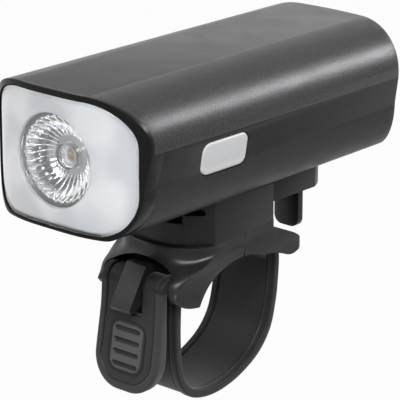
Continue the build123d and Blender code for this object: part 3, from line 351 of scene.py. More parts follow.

# %% [markdown]
# The rim is the same nylon as the lower shell, and its mould is polished where it frames the window,
# so it is smoother; its deeper black is painted shade. The lower shell is grained like the blasted upper
# one.

# %% A deeper black for the rim as painted shade, a greyer one for the lower shell
# The rim's darker colour is painted shade.
dressed["front_rim"].data.materials[0] = make_moulded(
    "nylon_rim_painted_shade", "#060606", 0.3, 0.6, 0.01, "#080808", rim_mirror)
dressed["lower_shell"].data.materials[0] = make_moulded(
    "nylon_grained_shell", "#131314", 0.42, 0.35, 0.05, "#1a1a1b", black_mirror)
print("rim and lower shell have finishes of their own")

# %% [markdown]
# The bracket's base carries the hook that the strap's slot hangs on. Its mould edges are crisp, so
# the bevel is small and faces that meet at more than 22 degrees stay sharp. The hook is also drawn a
# little wider than its solid, as wide as the slot allows, which is how the real one fills its slot.

# %% Bracket base with a crisp hook
hook_back_y, hook_low_z, hook_high_z, hook_half = -19.9, 6.0, 18.0, 3.25
hook_widening, widening_from_z, widening_over = 0.17, 6.5, 8.0
base = plain_copy("bracket_base")
for point in base.data.vertices:
    x, y, z = point.co / MM
    if y < hook_back_y and hook_low_z < z < hook_high_z and abs(x) < hook_half:
        share = min(max((z - widening_from_z) / widening_over, 0.25), 1.0)
        point.co.x *= 1.0 + hook_widening * share
stand_for(smooth_shade(soften(base, 0.2), 22), "bracket_base")

# %% [markdown]
# The release tongue is a springy arm: its root is screwed under the lamp, and a finger bends its rear
# end.

# %% Release tongue, with rounded edges
tongue = dress_for(soften(plain_copy("release_tongue"), 0.22), "release_tongue")
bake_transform(tongue)

# %% [markdown]
# Turned pieces follow one rule: a profile goes once round an axis. The lens is the main one. Its back
# is a ring of small lobes that mix the light of the diode, and a screw's socket is a polygon, so the
# rule has two additions, both weighed per point of the profile. Geometry Nodes suit this. The tree
# bends a flat grid: the row of a grid point picks the profile point, its column gives the angle, and
# the result is set down on every place of a list of points. The sums are kept as a table, one Math
# node to a line: its name, its operation, and its inputs, which are numbers or earlier names.

# %% Geometry Nodes: turn a profile and set it on places
def start_tree(name, **inputs):
    """A tree with named inputs, and its inputs' sockets by name."""
    tree = bpy.data.node_groups.new(name, "GeometryNodeTree")
    for label, kind in inputs.items():
        tree.interface.new_socket(label.replace("_", " "), in_out="INPUT", socket_type="NodeSocket" + kind)
    tree.interface.new_socket("Solid", in_out="OUTPUT", socket_type="NodeSocketGeometry")
    given = put(tree, "NodeGroupInput").outputs
    return tree, {label: given[label.replace("_", " ")] for label in inputs}


def end_tree(tree, known, geometry):
    """Copies are made real and take the finish, because the export drops instances."""
    real = put(tree, "GeometryNodeRealizeInstances", {"Geometry": geometry})
    done = put(tree, "GeometryNodeSetMaterial", {"Geometry": real, "Material": known["Finish"]})
    put(tree, "NodeGroupOutput", {"Solid": done})
    print(len(tree.nodes), "nodes in", tree.name)
    return tree


def make_turning_tree():
    tree, known = start_tree("turned_on_places", Profile="Geometry", Places="Object", Steps_Round="Int",
                             Lobes="Float", Lobe_Depth="Float", Flat_Sides="Float", Turn="Rotation",
                             Finish="Material")
    rows = put(tree, "GeometryNodeAttributeDomainSize", {"Geometry": known["Profile"]}, component="MESH")
    known["index"] = put(tree, "GeometryNodeInputIndex")
    for name, operation, *values in (
            ("columns", "ADD", "Steps_Round", 1.0),
            ("row", "DIVIDE", "index", "columns"),
            ("row", "ADD", "row", 0.0001),
            ("row", "FLOOR", "row"),
            ("column", "MODULO", "index", "columns"),
            ("column", "ROUND", "column"),
            ("share", "DIVIDE", "column", "Steps_Round"),
            ("angle", "MULTIPLY", "share", math.tau)):
        known[name] = put(tree, "ShaderNodeMath", {i: known.get(v, v) for i, v in enumerate(values)},
                          operation=operation)
    sheet = put(tree, "GeometryNodeMeshGrid", {"Vertices X": rows.outputs["Point Count"],
                                               "Vertices Y": known["columns"]})
    picked = put(tree, "GeometryNodeSampleIndex", {
        "Geometry": known["Profile"], "Value": put(tree, "GeometryNodeInputPosition"),
        "Index": known["row"]}, data_type="FLOAT_VECTOR", domain="POINT")
    known["radius"], depth, known["weight"] = put(tree, "ShaderNodeSeparateXYZ", {0: picked}).outputs
    for name, operation, *values in (
            ("lobe_turn", "MULTIPLY", "angle", "Lobes"),
            ("lobe_turn", "MULTIPLY", "lobe_turn", 0.5),
            ("dent", "SINE", "lobe_turn"),
            ("dent", "ABSOLUTE", "dent"),
            ("dent", "SUBTRACT", "dent", 1.0),
            ("dent", "MULTIPLY", "dent", "Lobe_Depth"),
            ("sector", "DIVIDE", math.tau, "Lobes"),
            ("half_sector", "MULTIPLY", "sector", 0.5),
            ("off_middle", "MODULO", "angle", "sector"),
            ("off_middle", "SUBTRACT", "off_middle", "half_sector"),
            ("to_side", "COSINE", "half_sector"),
            ("to_point", "COSINE", "off_middle"),
            ("flat", "DIVIDE", "to_side", "to_point"),
            ("flat", "SUBTRACT", "flat", 1.0),
            ("flat", "MULTIPLY", "flat", "radius"),
            ("flat", "MULTIPLY", "flat", "Flat_Sides"),
            ("change", "ADD", "dent", "flat"),
            ("change", "MULTIPLY", "change", "weight"),
            ("change", "MULTIPLY", "change", 1 / MM),
            ("radius", "ADD", "radius", "change"),
            ("x", "COSINE", "angle"),
            ("x", "MULTIPLY", "x", "radius"),
            ("z", "SINE", "angle"),
            ("z", "MULTIPLY", "z", "radius")):
        known[name] = put(tree, "ShaderNodeMath", {i: known.get(v, v) for i, v in enumerate(values)},
                          operation=operation)
    spot = put(tree, "ShaderNodeCombineXYZ", {0: known["x"], 1: depth, 2: known["z"]})
    bent = put(tree, "GeometryNodeSetPosition", {"Geometry": sheet, "Position": spot})
    closed = put(tree, "GeometryNodeMergeByDistance", {"Geometry": bent, "Distance": 0.0005 * MM})
    holder = put(tree, "GeometryNodeObjectInfo", {"Object": known["Places"]})
    copies = put(tree, "GeometryNodeInstanceOnPoints", {"Points": holder.outputs["Geometry"],
                                                        "Instance": closed, "Rotation": known["Turn"]})
    return end_tree(tree, known, copies)


turning_tree = make_turning_tree()

# %% [markdown]
# A modifier's inputs are known by their sockets' identifiers, so a helper looks each one up by its
# name in the tree's interface. It sets them before Blender first works the object out.

# %% Fill in a tree's inputs and bake it
def grow(name, tree, source_points, source_edges, **inputs):
    """Points in millimetres go through the tree, and come back as one plain mesh."""
    mesh = bpy.data.meshes.new(name)
    mesh.from_pydata([(x * MM, y * MM, z * MM) for x, y, z in source_points], source_edges, [])
    thing = bpy.data.objects.new(name, mesh)
    bpy.context.collection.objects.link(thing)
    rule = thing.modifiers.new("rule", "NODES")
    rule.node_group = tree
    sockets = {row.name: row.identifier for row in tree.interface.items_tree if row.in_out == "INPUT"}
    for label, value in inputs.items():
        rule[sockets[label.replace("_", " ")]] = value
    return turn_out(bake(thing))


def turned(name, profile, places, **inputs):
    """A profile of (radius, depth, weight), turned and set down on places in millimetres."""
    holder = bpy.data.meshes.new(name + "_places")
    holder.from_pydata([(x * MM, y * MM, z * MM) for x, y, z in places], [], [])
    spots = bpy.data.objects.new(name + "_places", holder)
    bpy.context.collection.objects.link(spots)
    edges = [(i, i + 1) for i in range(len(profile) - 1)]
    thing = grow(name, turning_tree, profile, edges, Places=spots, **inputs)
    bpy.data.objects.remove(spots)
    return smooth_shade(thing, 35)

# %% [markdown]
# The beam lens gathers the diode's light. Its front carries a shallow bead, its flange sits in the
# cup, and its flank is a curve with thirty-two lobes. A well in its foot swallows the diode. All of
# it is one profile, and only the flank's points carry the lobes' weight.

# %% Beam lens
lens_y, lens_z = -49.8, 49.025
lens_depth, well_r = 10.4, 3.0
lens_flange, lens_belly, lens_foot = (10.5, 2.0), (9.1, 6.2), (4.7, lens_depth)
bead_ball, bead_rise = 26, 0.25
well_ball, well_ball_y = 4.4, 9.4


def flank_points(count):
    """The flank is an arc through three points: flange, belly and foot."""
    (r0, d0), (r1, d1), (r2, d2) = lens_flange, lens_belly, lens_foot
    low = 2 * (r0 * (d1 - d2) + r1 * (d2 - d0) + r2 * (d0 - d1))
    s0, s1, s2 = r0 * r0 + d0 * d0, r1 * r1 + d1 * d1, r2 * r2 + d2 * d2
    mid_r = (s0 * (d1 - d2) + s1 * (d2 - d0) + s2 * (d0 - d1)) / low
    mid_d = (s0 * (r2 - r1) + s1 * (r0 - r2) + s2 * (r1 - r0)) / low
    ball = math.hypot(r0 - mid_r, d0 - mid_d)
    a0, a1 = math.atan2(d0 - mid_d, r0 - mid_r), math.atan2(d2 - mid_d, r2 - mid_r)
    turns = [a0 + (a1 - a0) * k / count for k in range(count + 1)]
    return [(mid_r + ball * math.cos(a), mid_d + ball * math.sin(a), 1) for a in turns]


bead = [(r, bead_ball - bead_rise - math.sqrt(bead_ball * bead_ball - r * r), 0)
        for r in (0, 0.9, 1.8, 2.7, 3.6)]
rim = [(10.9, 0, 0), (11.1, 0.03, 0), (11.24, 0.1, 0), (11.3, 0.25, 0), (11.3, 1.85, 0), (11.2, 2.0, 0)]
well = [(4.5, lens_depth, 0), (well_r + 0.15, lens_depth, 0), (well_r, lens_depth - 0.15, 0),
        (well_r, 6.2, 0)]
well += [(r, well_ball_y - math.sqrt(well_ball * well_ball - r * r), 0) for r in (2.6, 2.0, 1.3, 0.6, 0)]
lens = turned("beam_lens_turned", bead + rim + flank_points(16) + well, [(0, lens_y, lens_z)],
              Steps_Round=384, Lobes=32.0, Lobe_Depth=0.38 * MM, Flat_Sides=0.0, Turn=(0, 0, 0),
              Finish=finish["clear_lens"])
stand_for(lens, "beam_lens")

# %% [markdown]
# The screws hold the shells, the foot and the mount from below. Each has a cylinder head with a
# rounded edge and a hexagon socket, and a plain shank. The head's profile carries the polygon's
# weight only along the socket, and the turn stands the screw up. The lamp's underside rises towards
# the rear, so the rear pair sits higher by its share of that rise.

# %% Screws with hexagon sockets
def screw_profile(head_r, head_h, shank_r, length):
    socket = head_r / 2
    return [(0, head_h / 2, 0), (socket, head_h / 2, 1), (socket, 0.1, 1), (socket + 0.1, 0, 1),
            (head_r - 0.2, 0, 0), (head_r - 0.06, 0.06, 0), (head_r, 0.2, 0), (head_r, head_h, 0),
            (shank_r, head_h, 0), (shank_r, length, 0), (0, length, 0)]


upright = (math.pi / 2, 0, 0)


def set_screws(node, places, head_r, head_h, shank_r, length):
    thing = turned(node + "_turned", screw_profile(head_r, head_h, shank_r, length), places, Steps_Round=48,
                   Lobes=6.0, Lobe_Depth=0.0, Flat_Sides=1.0, Turn=upright, Finish=finish[slot_of[node]])
    return stand_for(thing, node)


screw_x, front_screws_y, rear_screws_y = 15, -28.6, 41.6
keel_rise, lamp_long = 1.2, 102.9
foot_screw_x, foot_screws_y, foot_screws_z = 9.2, (-8.5, 20.0), 29.2
low_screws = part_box("shell_screws")[0][2] / MM
high_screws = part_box("shell_screws")[1][2] / MM
keel_step = keel_rise * (rear_screws_y - front_screws_y) / lamp_long
shell_places = [(x, front_screws_y, low_screws) for x in (-screw_x, screw_x)]
shell_places += [(x, rear_screws_y, low_screws + keel_step) for x in (-screw_x, screw_x)]
foot_places = [(x, y, foot_screws_z) for x in (-foot_screw_x, foot_screw_x) for y in foot_screws_y]
set_screws("shell_screws", shell_places, 1.85, 1.3, 1.0, high_screws - low_screws - keel_step)
set_screws("foot_screws", foot_places, 1.9, 1.2, 0.95, 6.2)

# %% [markdown]
# Two rivets hold the tongue to the lamp's foot. A rivet is set cold, so its head is a flat dome with
# no socket: the same tree, with no sides and no lobes.

# %% Rivets
rivet = [(0, 0, 0), (0.8, 0.03, 0), (1.4, 0.12, 0), (1.8, 0.28, 0), (2.0, 0.5, 0), (2.0, 0.6, 0),
         (0.9, 0.6, 0), (0.9, 4.0, 0), (0, 4.0, 0)]
stand_for(turned("tongue_rivets_turned", rivet, [(-2.7, -6.5, 27.1), (2.7, -6.5, 27.1)], Steps_Round=36,
                 Lobes=1.0, Lobe_Depth=0.0, Flat_Sides=0.0, Turn=upright, Finish=finish["dark_steel"]),
          "tongue_rivets")

# %% [markdown]
# The rubber liner grips the handlebar. It is a strip bent round the bar, with five grooves that let
# it bend and give water a way out. Grooves repeat by a rule, so this is a tree too: a finely divided
# block is bent, and its inner face is raised wherever the angle falls in a groove.

# %% Geometry Nodes: a grooved liner bent round the bar
def make_liner_tree():
    tree, known = start_tree("liner_round_bar", Source="Geometry", Bar_Radius="Float", Thickness="Float",
                             Half_Width="Float", First_Angle="Float", Last_Angle="Float", Grooves="Float",
                             Groove_Width="Float", Groove_Depth="Float", Finish="Material")
    block = put(tree, "GeometryNodeMeshCube", {"Size": (2.0, 1.0, 1.0), "Vertices X": 63, "Vertices Y": 150,
                                               "Vertices Z": 4})
    place = put(tree, "ShaderNodeSeparateXYZ", {0: put(tree, "GeometryNodeInputPosition")})
    known["block_x"], known["block_y"], known["block_z"] = place.outputs
    for name, operation, *values in (
            ("span", "SUBTRACT", "Last_Angle", "First_Angle"),
            ("share", "ADD", "block_y", 0.5),
            ("angle", "MULTIPLY_ADD", "share", "span", "First_Angle"),
            ("x", "MULTIPLY", "block_x", "Half_Width"),
            ("level", "ADD", "block_z", 0.5),
            ("inner", "SUBTRACT", 1.0, "level"),
            ("gaps", "ADD", "Grooves", 1.0),
            ("turn", "MULTIPLY", "share", "gaps"),
            ("nearest", "ROUND", "turn"),
            ("nearest", "MAXIMUM", "nearest", 1.0),
            ("nearest", "MINIMUM", "nearest", "Grooves"),
            ("away", "SUBTRACT", "turn", "nearest"),
            ("away", "ABSOLUTE", "away"),
            ("pitch", "DIVIDE", "span", "gaps"),
            ("pitch", "MULTIPLY", "pitch", "Bar_Radius"),
            ("away", "MULTIPLY", "away", "pitch"),
            ("past_end", "ABSOLUTE", "x"),
            ("past_end", "SUBTRACT", "past_end", "Half_Width"),
            ("half_groove", "MULTIPLY", "Groove_Width", 0.5)):
        known[name] = put(tree, "ShaderNodeMath", {i: known.get(v, v) for i, v in enumerate(values)},
                          operation=operation)
    for name, value, start, end in (("across", "away", known["half_groove"], 0.25 * MM),
                                    ("along", "past_end", -1.1 * MM, -1.5 * MM)):
        known[name] = put(tree, "ShaderNodeMapRange",
                          {"Value": known[value], "From Min": start, "From Max": end},
                          interpolation_type="SMOOTHSTEP")
    for name, operation, *values in (
            ("groove", "MULTIPLY", "across", "along"),
            ("groove", "MULTIPLY", "groove", "inner"),
            ("groove", "MULTIPLY", "groove", "Groove_Depth"),
            ("radius", "MULTIPLY_ADD", "level", "Thickness", "Bar_Radius"),
            ("radius", "ADD", "radius", "groove"),
            ("y", "COSINE", "angle"),
            ("y", "MULTIPLY", "y", "radius"),
            ("z", "SINE", "angle"),
            ("z", "MULTIPLY", "z", "radius")):
        known[name] = put(tree, "ShaderNodeMath", {i: known.get(v, v) for i, v in enumerate(values)},
                          operation=operation)
    spot = put(tree, "ShaderNodeCombineXYZ", {0: known["x"], 1: known["y"], 2: known["z"]})
    bent = put(tree, "GeometryNodeSetPosition", {"Geometry": block, "Position": spot})
    return end_tree(tree, known, bent)


liner = grow("saddle_liner", make_liner_tree(), [(0, 0, 0)], [], Bar_Radius=15.9 * MM, Thickness=1.4 * MM,
             Half_Width=12.4 * MM, First_Angle=math.radians(48), Last_Angle=math.radians(148), Grooves=5.0,
             Groove_Width=1.1 * MM, Groove_Depth=0.45 * MM, Finish=finish["black_rubber"])
stand_for(smooth_shade(liner), "saddle_pad")

# %% [markdown]
# The strap is a flat band of silicone that runs from its eye round the bar, up the front and over the
# fold bar. Two grids of points make its outer and inner face, and a wall closes them round the edge
# and round the slot for the hook. Columns lie closer where something happens: at the rounded edge and
# at the line where the rim steps down to the thinner middle.

# %% A wall between two grids, and bands between rings
def smooth(t):
    """From 0 to 1 with soft ends."""
    t = min(max(t, 0.0), 1.0)
    return t * t * (3 - 2 * t)


def fall(inward, radius):
    """How far a rounded edge lies below its face, so far in from the edge."""
    if inward >= radius:
        return 0.0
    return radius - math.sqrt(max(radius * radius - (radius - inward) ** 2, 0.0))


def rim_line(inward):
    """The rim's inner edge: a fine groove, and a middle that lies a little lower."""
    return 0.28 * smooth((inward - 1.9) / 0.35) + 0.2 * math.exp(-((inward - 2.3) / 0.17) ** 2)


def band(first, second, count):
    """Faces between two rings of points, each known by the number of its first point."""
    return [(first + i, first + (i + 1) % count, second + (i + 1) % count, second + i) for i in range(count)]


def skin(top, under, is_open):
    """Two matching grids, closed into one wall, with the open cells left out."""
    rows, columns = len(top), len(top[0])
    points = [p for row in top for p in row] + [p for row in under for p in row]
    shift = rows * columns
    kept = [[not is_open(i, j) for j in range(columns - 1)] for i in range(rows - 1)]
    faces = []
    for i in range(rows - 1):
        for j in range(columns - 1):
            if not kept[i][j]:
                continue
            a, b = i * columns + j, i * columns + j + 1
            d, c = a + columns, b + columns
            faces += [(a, b, c, d), (d + shift, c + shift, b + shift, a + shift)]
            for p, q, k, m in ((a, b, i - 1, j), (b, c, i, j + 1), (c, d, i + 1, j), (d, a, i, j - 1)):
                if not (0 <= k < rows - 1 and 0 <= m < columns - 1 and kept[k][m]):
                    faces.append((q, p, p + shift, q + shift))
    return points, faces

# %% [markdown]
# The strap's line is given by a few points, and a Catmull-Rom curve goes through them: a smooth line
# that needs no handles. Over the fold bar it is a true arc. Each station has its own normal, and the
# two faces lie half the thickness to either side of it.

# %% The strap's line
strap_line = [(16.25, 15.0), (17.7, 11.8), (18.05, 9.0), (17.75, 4.2), (17.03, -1.2), (15.0, -8.15),
              (10.7, -13.4), (4.0, -17.1), (-2.8, -18.9), (-8.8, -19.0), (-14.0, -17.4), (-17.3, -13.7),
              (-18.6, -8.4), (-18.95, -1.5), (-18.8, 5.0), (-18.5, 11.1)]
before_first, after_last = (15.4, 17.5), (-18.5, 17.1)
fold_y, fold_z, fold_r = -21.2, 11.1, 2.7
hole_from_deg, hole_step_deg = 64.8, 4.8
far_from_hole = -1000.0


def through(a, b, c, d, t):
    """Catmull-Rom: where the curve lies between b and c, and how it runs there."""
    one, two, three = c - a, 2 * a - 5 * b + 4 * c - d, 3 * b - a - 3 * c + d
    return (0.5 * (2 * b + one * t + two * t * t + three * t ** 3),
            0.5 * (one + 2 * two * t + 3 * three * t * t))


line = [before_first] + strap_line + [after_last]
stations = []
for four in zip(line, line[1:], line[2:], line[3:]):
    for k in range(10):
        (y, run_y), (z, run_z) = (through(*values, k / 10) for values in zip(*four))
        size = math.hypot(run_y, run_z)
        stations.append((y, z, -run_z / size, run_y / size, far_from_hole))
fold_degs = [0, 6, 12, 18, 24, 30, 36, 42, 48, 54, 58.4, 61, 62.9, hole_from_deg]
fold_degs += [hole_from_deg + hole_step_deg * k for k in range(1, 25)]
for deg in fold_degs:
    a = math.radians(deg)
    stations.append((fold_y + fold_r * math.cos(a), fold_z + fold_r * math.sin(a), -math.cos(a),
                     -math.sin(a), math.radians(deg - hole_from_deg) * fold_r))
print(len(stations), "stations, the last at", [round(v, 3) for v in stations[-1][:2]])

# %% Strap
strap_half, strap_thick, edge_r, hole_half, hole_edge_r = 10.1, 2.2, 0.5, 3.6, 0.3
steps_in = [0, 0.03, 0.1, 0.2, 0.34, 0.5, 1.1, 1.6, 1.9, 2.0, 2.1, 2.2, 2.3, 2.4, 2.5, 2.65, 2.9]
middle = [6.3, 5.4, 4.6, 3.9, 3.75, 3.66, 3.6, 2.4, 1.2, 0.0]
right = [strap_half - d for d in steps_in] + middle
strap_columns = [-x for x in right[:-1]] + right[::-1]


def slot_gap(x, past):
    """The distance to the hook's slot: past is how far the row lies beyond its start."""
    return math.hypot(max(abs(x) - hole_half, 0.0), max(-past, 0.0))


def in_slot(columns, j):
    """Whether the cell between two columns lies in the hook's slot."""
    return abs(columns[j] + columns[j + 1]) < 2 * hole_half


outer, inner = [], []
for y, z, ny, nz, past in stations:
    rows = ([], [])
    for x in strap_columns:
        side = strap_half - abs(x)
        down = max(fall(side, edge_r), fall(slot_gap(x, past), hole_edge_r)) + rim_line(side)
        half = strap_thick / 2 - down
        rows[0].append((x, y + ny * half, z + nz * half))
        rows[1].append((x, y - ny * half, z - nz * half))
    outer.append(rows[0])
    inner.append(rows[1])
points, faces = skin(outer, inner, lambda i, j: stations[i][4] > -0.001 and in_slot(strap_columns, j))

# %% [markdown]
# At its anchored end the band thickens into an eye, a tube that the steel pin goes through. The tube
# is added to the same mesh as a ring of points, with both ends rounded.

# %% The strap's eye, then the piece
def add_tube(points, faces, y, z, bore, radius, half, edge, around=40):
    """A tube along X with rounded ends, added to a mesh's lists."""
    first = len(points)
    arc = [math.radians(d) for d in (0, 30, 60, 90)]
    rim_out = [(half - edge + edge * math.sin(a), radius - edge + edge * math.cos(a)) for a in arc]
    section = [(-half, bore)] + [(-x, r) for x, r in rim_out[::-1]] + rim_out + [(half, bore)]
    for k in range(around):
        turn = math.tau * k / around
        points += [(x, y + r * math.cos(turn), z + r * math.sin(turn)) for x, r in section]
    n = len(section)
    for k in range(around):
        faces += band(first + k * n, first + (k + 1) % around * n, n)


eye_y, eye_z, eye_bore, eye_r = 14.9, 15.0, 1.3, 2.45
add_tube(points, faces, eye_y, eye_z, eye_bore, eye_r, strap_half, edge_r)
stand_for(smooth_shade(piece("strap_band", points, faces)), "strap")

# %% [markdown]
# The pull tab is the strap's free end: the rim runs on round it, the hook stands in its slot, and a
# raised pad with four recessed slots gives the finger a hold. The relief is worked out from signed
# distances, which say how far a point lies inside an outline. With them a groove follows a rounded
# corner by itself. The grid is fine, a sixth of a millimetre, because the light shows every step.

# %% The tab's outline and relief
tab_top, tab_tip, tab_wide, corner = 11.1, -15.3, -5.6, 8.5
hole_low = 4.0
grip_mid, grip_half_w, grip_half_h, grip_corner = -4.3, 5.1, 5.9, 2.6
slot_half, slot_h, slot_pitch, slot_depth = 4.15, 1.15, 2.95, 0.7
grip_rise, dip_depth, dip_at, dip_half = 0.5, 0.16, 0.6, 0.5
front_line = [(11.1, -25.0), (5.0, -25.5), (-4.2, -26.8), (-15.3, -28.7)]
back_line = [(11.1, -22.8), (5.0, -22.9), (-4.2, -23.4), (-15.3, -25.3)]


def fitted(line, z):
    """The cubic through four points (z, y)."""
    total = 0.0
    for i, (zi, yi) in enumerate(line):
        share = yi
        for j, (zj, _) in enumerate(line):
            if j != i:
                share *= (z - zj) / (zi - zj)
        total += share
    return total


def side_at(z):
    """Half the width, before the lower corners take it in."""
    return strap_half + 0.4 * smooth((tab_top - z) / (tab_top - tab_wide))


def inside(x, z):
    """How far a point lies inside the tab's outline."""
    side, foot = side_at(z) - abs(x), z - tab_tip
    if side < corner and foot < corner:
        return corner - math.hypot(corner - side, corner - foot)
    return min(side, foot)


def box_gap(x, z, half_w, half_h, radius):
    """Signed distance to a rounded rectangle: negative inside."""
    across, up = abs(x) - half_w + radius, abs(z) - half_h + radius
    return math.hypot(max(across, 0), max(up, 0)) + min(max(across, up), 0) - radius


def grip_gap(x, z):
    """Signed distance to the raised pad."""
    return box_gap(x, z - grip_mid, grip_half_w, grip_half_h, grip_corner)


def slot_gaps(x, z):
    """Signed distances to the pad's four slots."""
    return [box_gap(x, z - grip_mid - slot_pitch * (k - 1.5), slot_half, slot_h / 2, slot_h / 2)
            for k in range(4)]


def grip_relief(x, z):
    """Depth of the pad, the soft dip round it and its slots."""
    edge = grip_gap(x, z)
    depth = -grip_rise * smooth(-edge / 0.45 + 0.2)
    if edge > 0:
        depth += dip_depth * math.exp(-((edge - dip_at) / dip_half) ** 2)
    else:
        depth += dip_depth * math.exp(-(dip_at / dip_half) ** 2) * smooth(1 + edge / 0.3)
    return depth + sum(slot_depth * smooth(0.25 - gap / 0.28) for gap in slot_gaps(x, z))

# %% Tab
step = 0.165
feet = [0, 0.015, 0.05, 0.1, 0.17, 0.26, 0.36, 0.48, 0.62]
edge_top = feet[-1]
feet += [edge_top + step * k for k in range(1, int((hole_low - tab_tip - edge_top - 0.1) / step) + 1)]
feet += [hole_low - tab_tip + step * k for k in range(int((tab_top - hole_low) / step) + 1)]
heights = [tab_tip + f for f in feet] + [tab_top]
edge_steps = [0, 0.02, 0.06, 0.12, 0.2, 0.3, 0.42, 0.56]
wide = [strap_half - d for d in edge_steps]
wide += [wide[-1] - step * k for k in range(1, int((wide[-1] - hole_half - 0.05) / step) + 1)]
wide += [hole_half * (1 - k / 22) for k in range(23)]
tab_columns = [-x for x in wide[:-1]] + wide[::-1]
front, back = [], []
for z in heights:
    foot = z - tab_tip
    half_w = side_at(z)
    if foot < corner:
        half_w += math.sqrt(corner ** 2 - (corner - foot) ** 2) - corner
    edge = 0.5 + 0.4 * smooth((tab_top - z) / 8)
    y_front, y_back = fitted(front_line, z), fitted(back_line, z)
    rows = ([], [])
    for column in tab_columns:
        x = column * half_w / strap_half
        deep = inside(x, z)
        gap = math.hypot(max(abs(column) - hole_half, 0.0), max(hole_low - z, 0.0))
        down = max(fall(max(deep, 0.0), edge), fall(gap, hole_edge_r)) + rim_line(deep)
        rows[0].append((x, y_front + down + grip_relief(x, z), z))
        rows[1].append((x, y_back - down, z))
    front.append(rows[0])
    back.append(rows[1])
points, faces = skin(front, back, lambda i, j: heights[i] > hole_low - 0.001 and in_slot(tab_columns, j))
tab = stand_for(smooth_shade(piece("pull_tab", points, faces)), "strap_tab")

# %% [markdown]
# The raised pad and the rim are painted paler, partly as handling wear and partly as painted sheen,
# while painted shade darkens the rim's groove, the lower middle, the dip round the pad and its slots.
# The tab gets a number on each point for that, from the same distances as its relief, and its material
# mixes its tones by it.

# %% Painted sheen and shade, and handling wear, on the tab
# Rim and pad: paler, partly wear and partly painted sheen. Middle and dip round the pad: painted shade.
rim_sheen_and_wear, panel_painted_shade, dip_painted_shade, grip_sheen_and_wear = 0.42, 0.22, 0.2, 0.8
front_skin = 1.5
painted_light_and_wear = tab.data.attributes.new("painted_light_and_wear", "FLOAT", "POINT")
for i, point in enumerate(tab.data.vertices):
    x, y, z = point.co / MM
    deep = inside(x, z)
    pad = grip_gap(x, z)
    # The rim is lifted and its groove left dark as painted shade, the lower middle and the dip round the pad
    # get painted shade, and the pad gets painted sheen and wear except in its slots.
    tone = rim_sheen_and_wear - rim_sheen_and_wear * math.exp(-((deep - 2.3) / 0.3) ** 2)
    tone -= panel_painted_shade * smooth((deep - 2.4) / 0.5)
    tone -= dip_painted_shade * math.exp(-((pad - 0.55) / 0.5) ** 2) * smooth(pad / 0.2)
    if pad < 0 and y < fitted(front_line, z) + front_skin:
        tone += grip_sheen_and_wear * smooth(-pad / 0.3) * smooth(min(slot_gaps(x, z)) / 0.2 + 0.3)
    painted_light_and_wear.data[i].value = min(max(tone, 0.0), 1.0)


def make_silicone_with_painted_light():
    material = finish["black_rubber"].copy()
    material.name = "silicone_rubber_handled"
    tree = material.node_tree
    shader = tree.nodes["Principled BSDF"]
    number = put(tree, "ShaderNodeAttribute", attribute_name="painted_light_and_wear")
    old = shader.inputs["Base Color"].links[0].from_socket
    # A dark and a pale tone mixed by that number: painted shade, and painted sheen with wear.
    tint = put(tree, "ShaderNodeMix", {0: number.outputs["Fac"], 6: linear("#0b0b0c"), 7: linear("#555557")},
               data_type="RGBA")
    both = put(tree, "ShaderNodeMix", {0: 0.65, 6: old, 7: tint.outputs[2]}, data_type="RGBA")
    tree.links.new(both.outputs[2], shader.inputs["Base Color"])
    return material


tab.data.materials[0] = make_silicone_with_painted_light()
tones = [row.value for row in painted_light_and_wear.data]
print("handled from", round(min(tones), 2), "to", round(max(tones), 2))

# %% [markdown]
# The front is a milky panel behind a clear window, and both bend back towards the sides. A mesh from
# CAD is made of long flat strips there, and a clear surface shows each strip as a streak. So the bend
# is measured with rays on the CAD piece, a smooth polynomial is laid through the hits, and the new
# surface follows that. Its points lie on rings between the outline and the lens, so the edge can be
# rounded evenly all the way.

# %% Closed outlines, and the front's bend
import numpy


def between(p, q, steps):
    """Points on the straight line from p to q, without its ends."""
    return [(p[0] + (q[0] - p[0]) * k / steps, p[1] + (q[1] - p[1]) * k / steps) for k in range(1, steps)]


def round_corners(corners, per_corner, per_side):
    """Quarter ellipses (middle a, middle b, radius a, radius b), joined by straight sides."""
    points = []
    for quarter, (mid_a, mid_b, radius_a, radius_b) in enumerate(corners):
        for k in range(per_corner + 1):
            turn = math.radians(90 * quarter + 90 * k / per_corner)
            spot = (mid_a + radius_a * math.cos(turn), mid_b + radius_b * math.sin(turn))
            if points and k == 0:
                points += between(points[-1], spot, per_side)
            points.append(spot)
    return points + between(points[-1], points[0], per_side)


bend_powers, bend_scale, measured_half = (0, 2, 4, 6, 8), 22.0, 22.3
below_lens_z, beside_lens_z, lens_side_x = 37.0, 49.0, 12
ray_from = {"front": (-0.1, 1), "rear": (0.0, -1)}


def bend_of(node, side):
    """The depth in Y across the front, as an even polynomial through ray hits."""
    solid = BVHTree.FromObject(nodes[node], bpy.context.evaluated_depsgraph_get())
    start, way = ray_from[side]
    across = numpy.linspace(-measured_half, measured_half, 46)
    depth = []
    for x in across:
        level = below_lens_z if abs(x) < lens_side_x else beside_lens_z
        hit = solid.ray_cast(Vector((x * MM, start, level * MM)), Vector((0, way, 0)))[0]
        depth.append(hit.y / MM)
    powers = numpy.stack([(across / bend_scale) ** k for k in bend_powers], axis=1)
    terms = numpy.linalg.lstsq(powers, numpy.array(depth), rcond=None)[0]
    print(node, side, "bend fits within", round(float(numpy.abs(powers @ terms - depth).max()), 3), "mm")
    return lambda x: float(sum(t * (x / bend_scale) ** k for t, k in zip(terms, bend_powers)))

# %% Window and milky panel
window_half, window_low, window_high = 22.55, 33.35, 65.1
top_x, top_z, low_x, low_z = 12.4, 10.2, 9.4, 10.6
window_outline = round_corners([
    (window_half - top_x, window_high - top_z, top_x, top_z),
    (top_x - window_half, window_high - top_z, top_x, top_z),
    (low_x - window_half, window_low + low_z, low_x, low_z),
    (window_half - low_x, window_low + low_z, low_x, low_z)], 40, 24)
ring_shares = [0, 0.004, 0.012, 0.03, 0.055, 0.09, 0.13, 0.18, 0.24, 0.31, 0.4, 0.5, 0.6, 0.7, 0.8, 0.88,
               0.94, 0.98, 1.0]
hole_round = 0.25


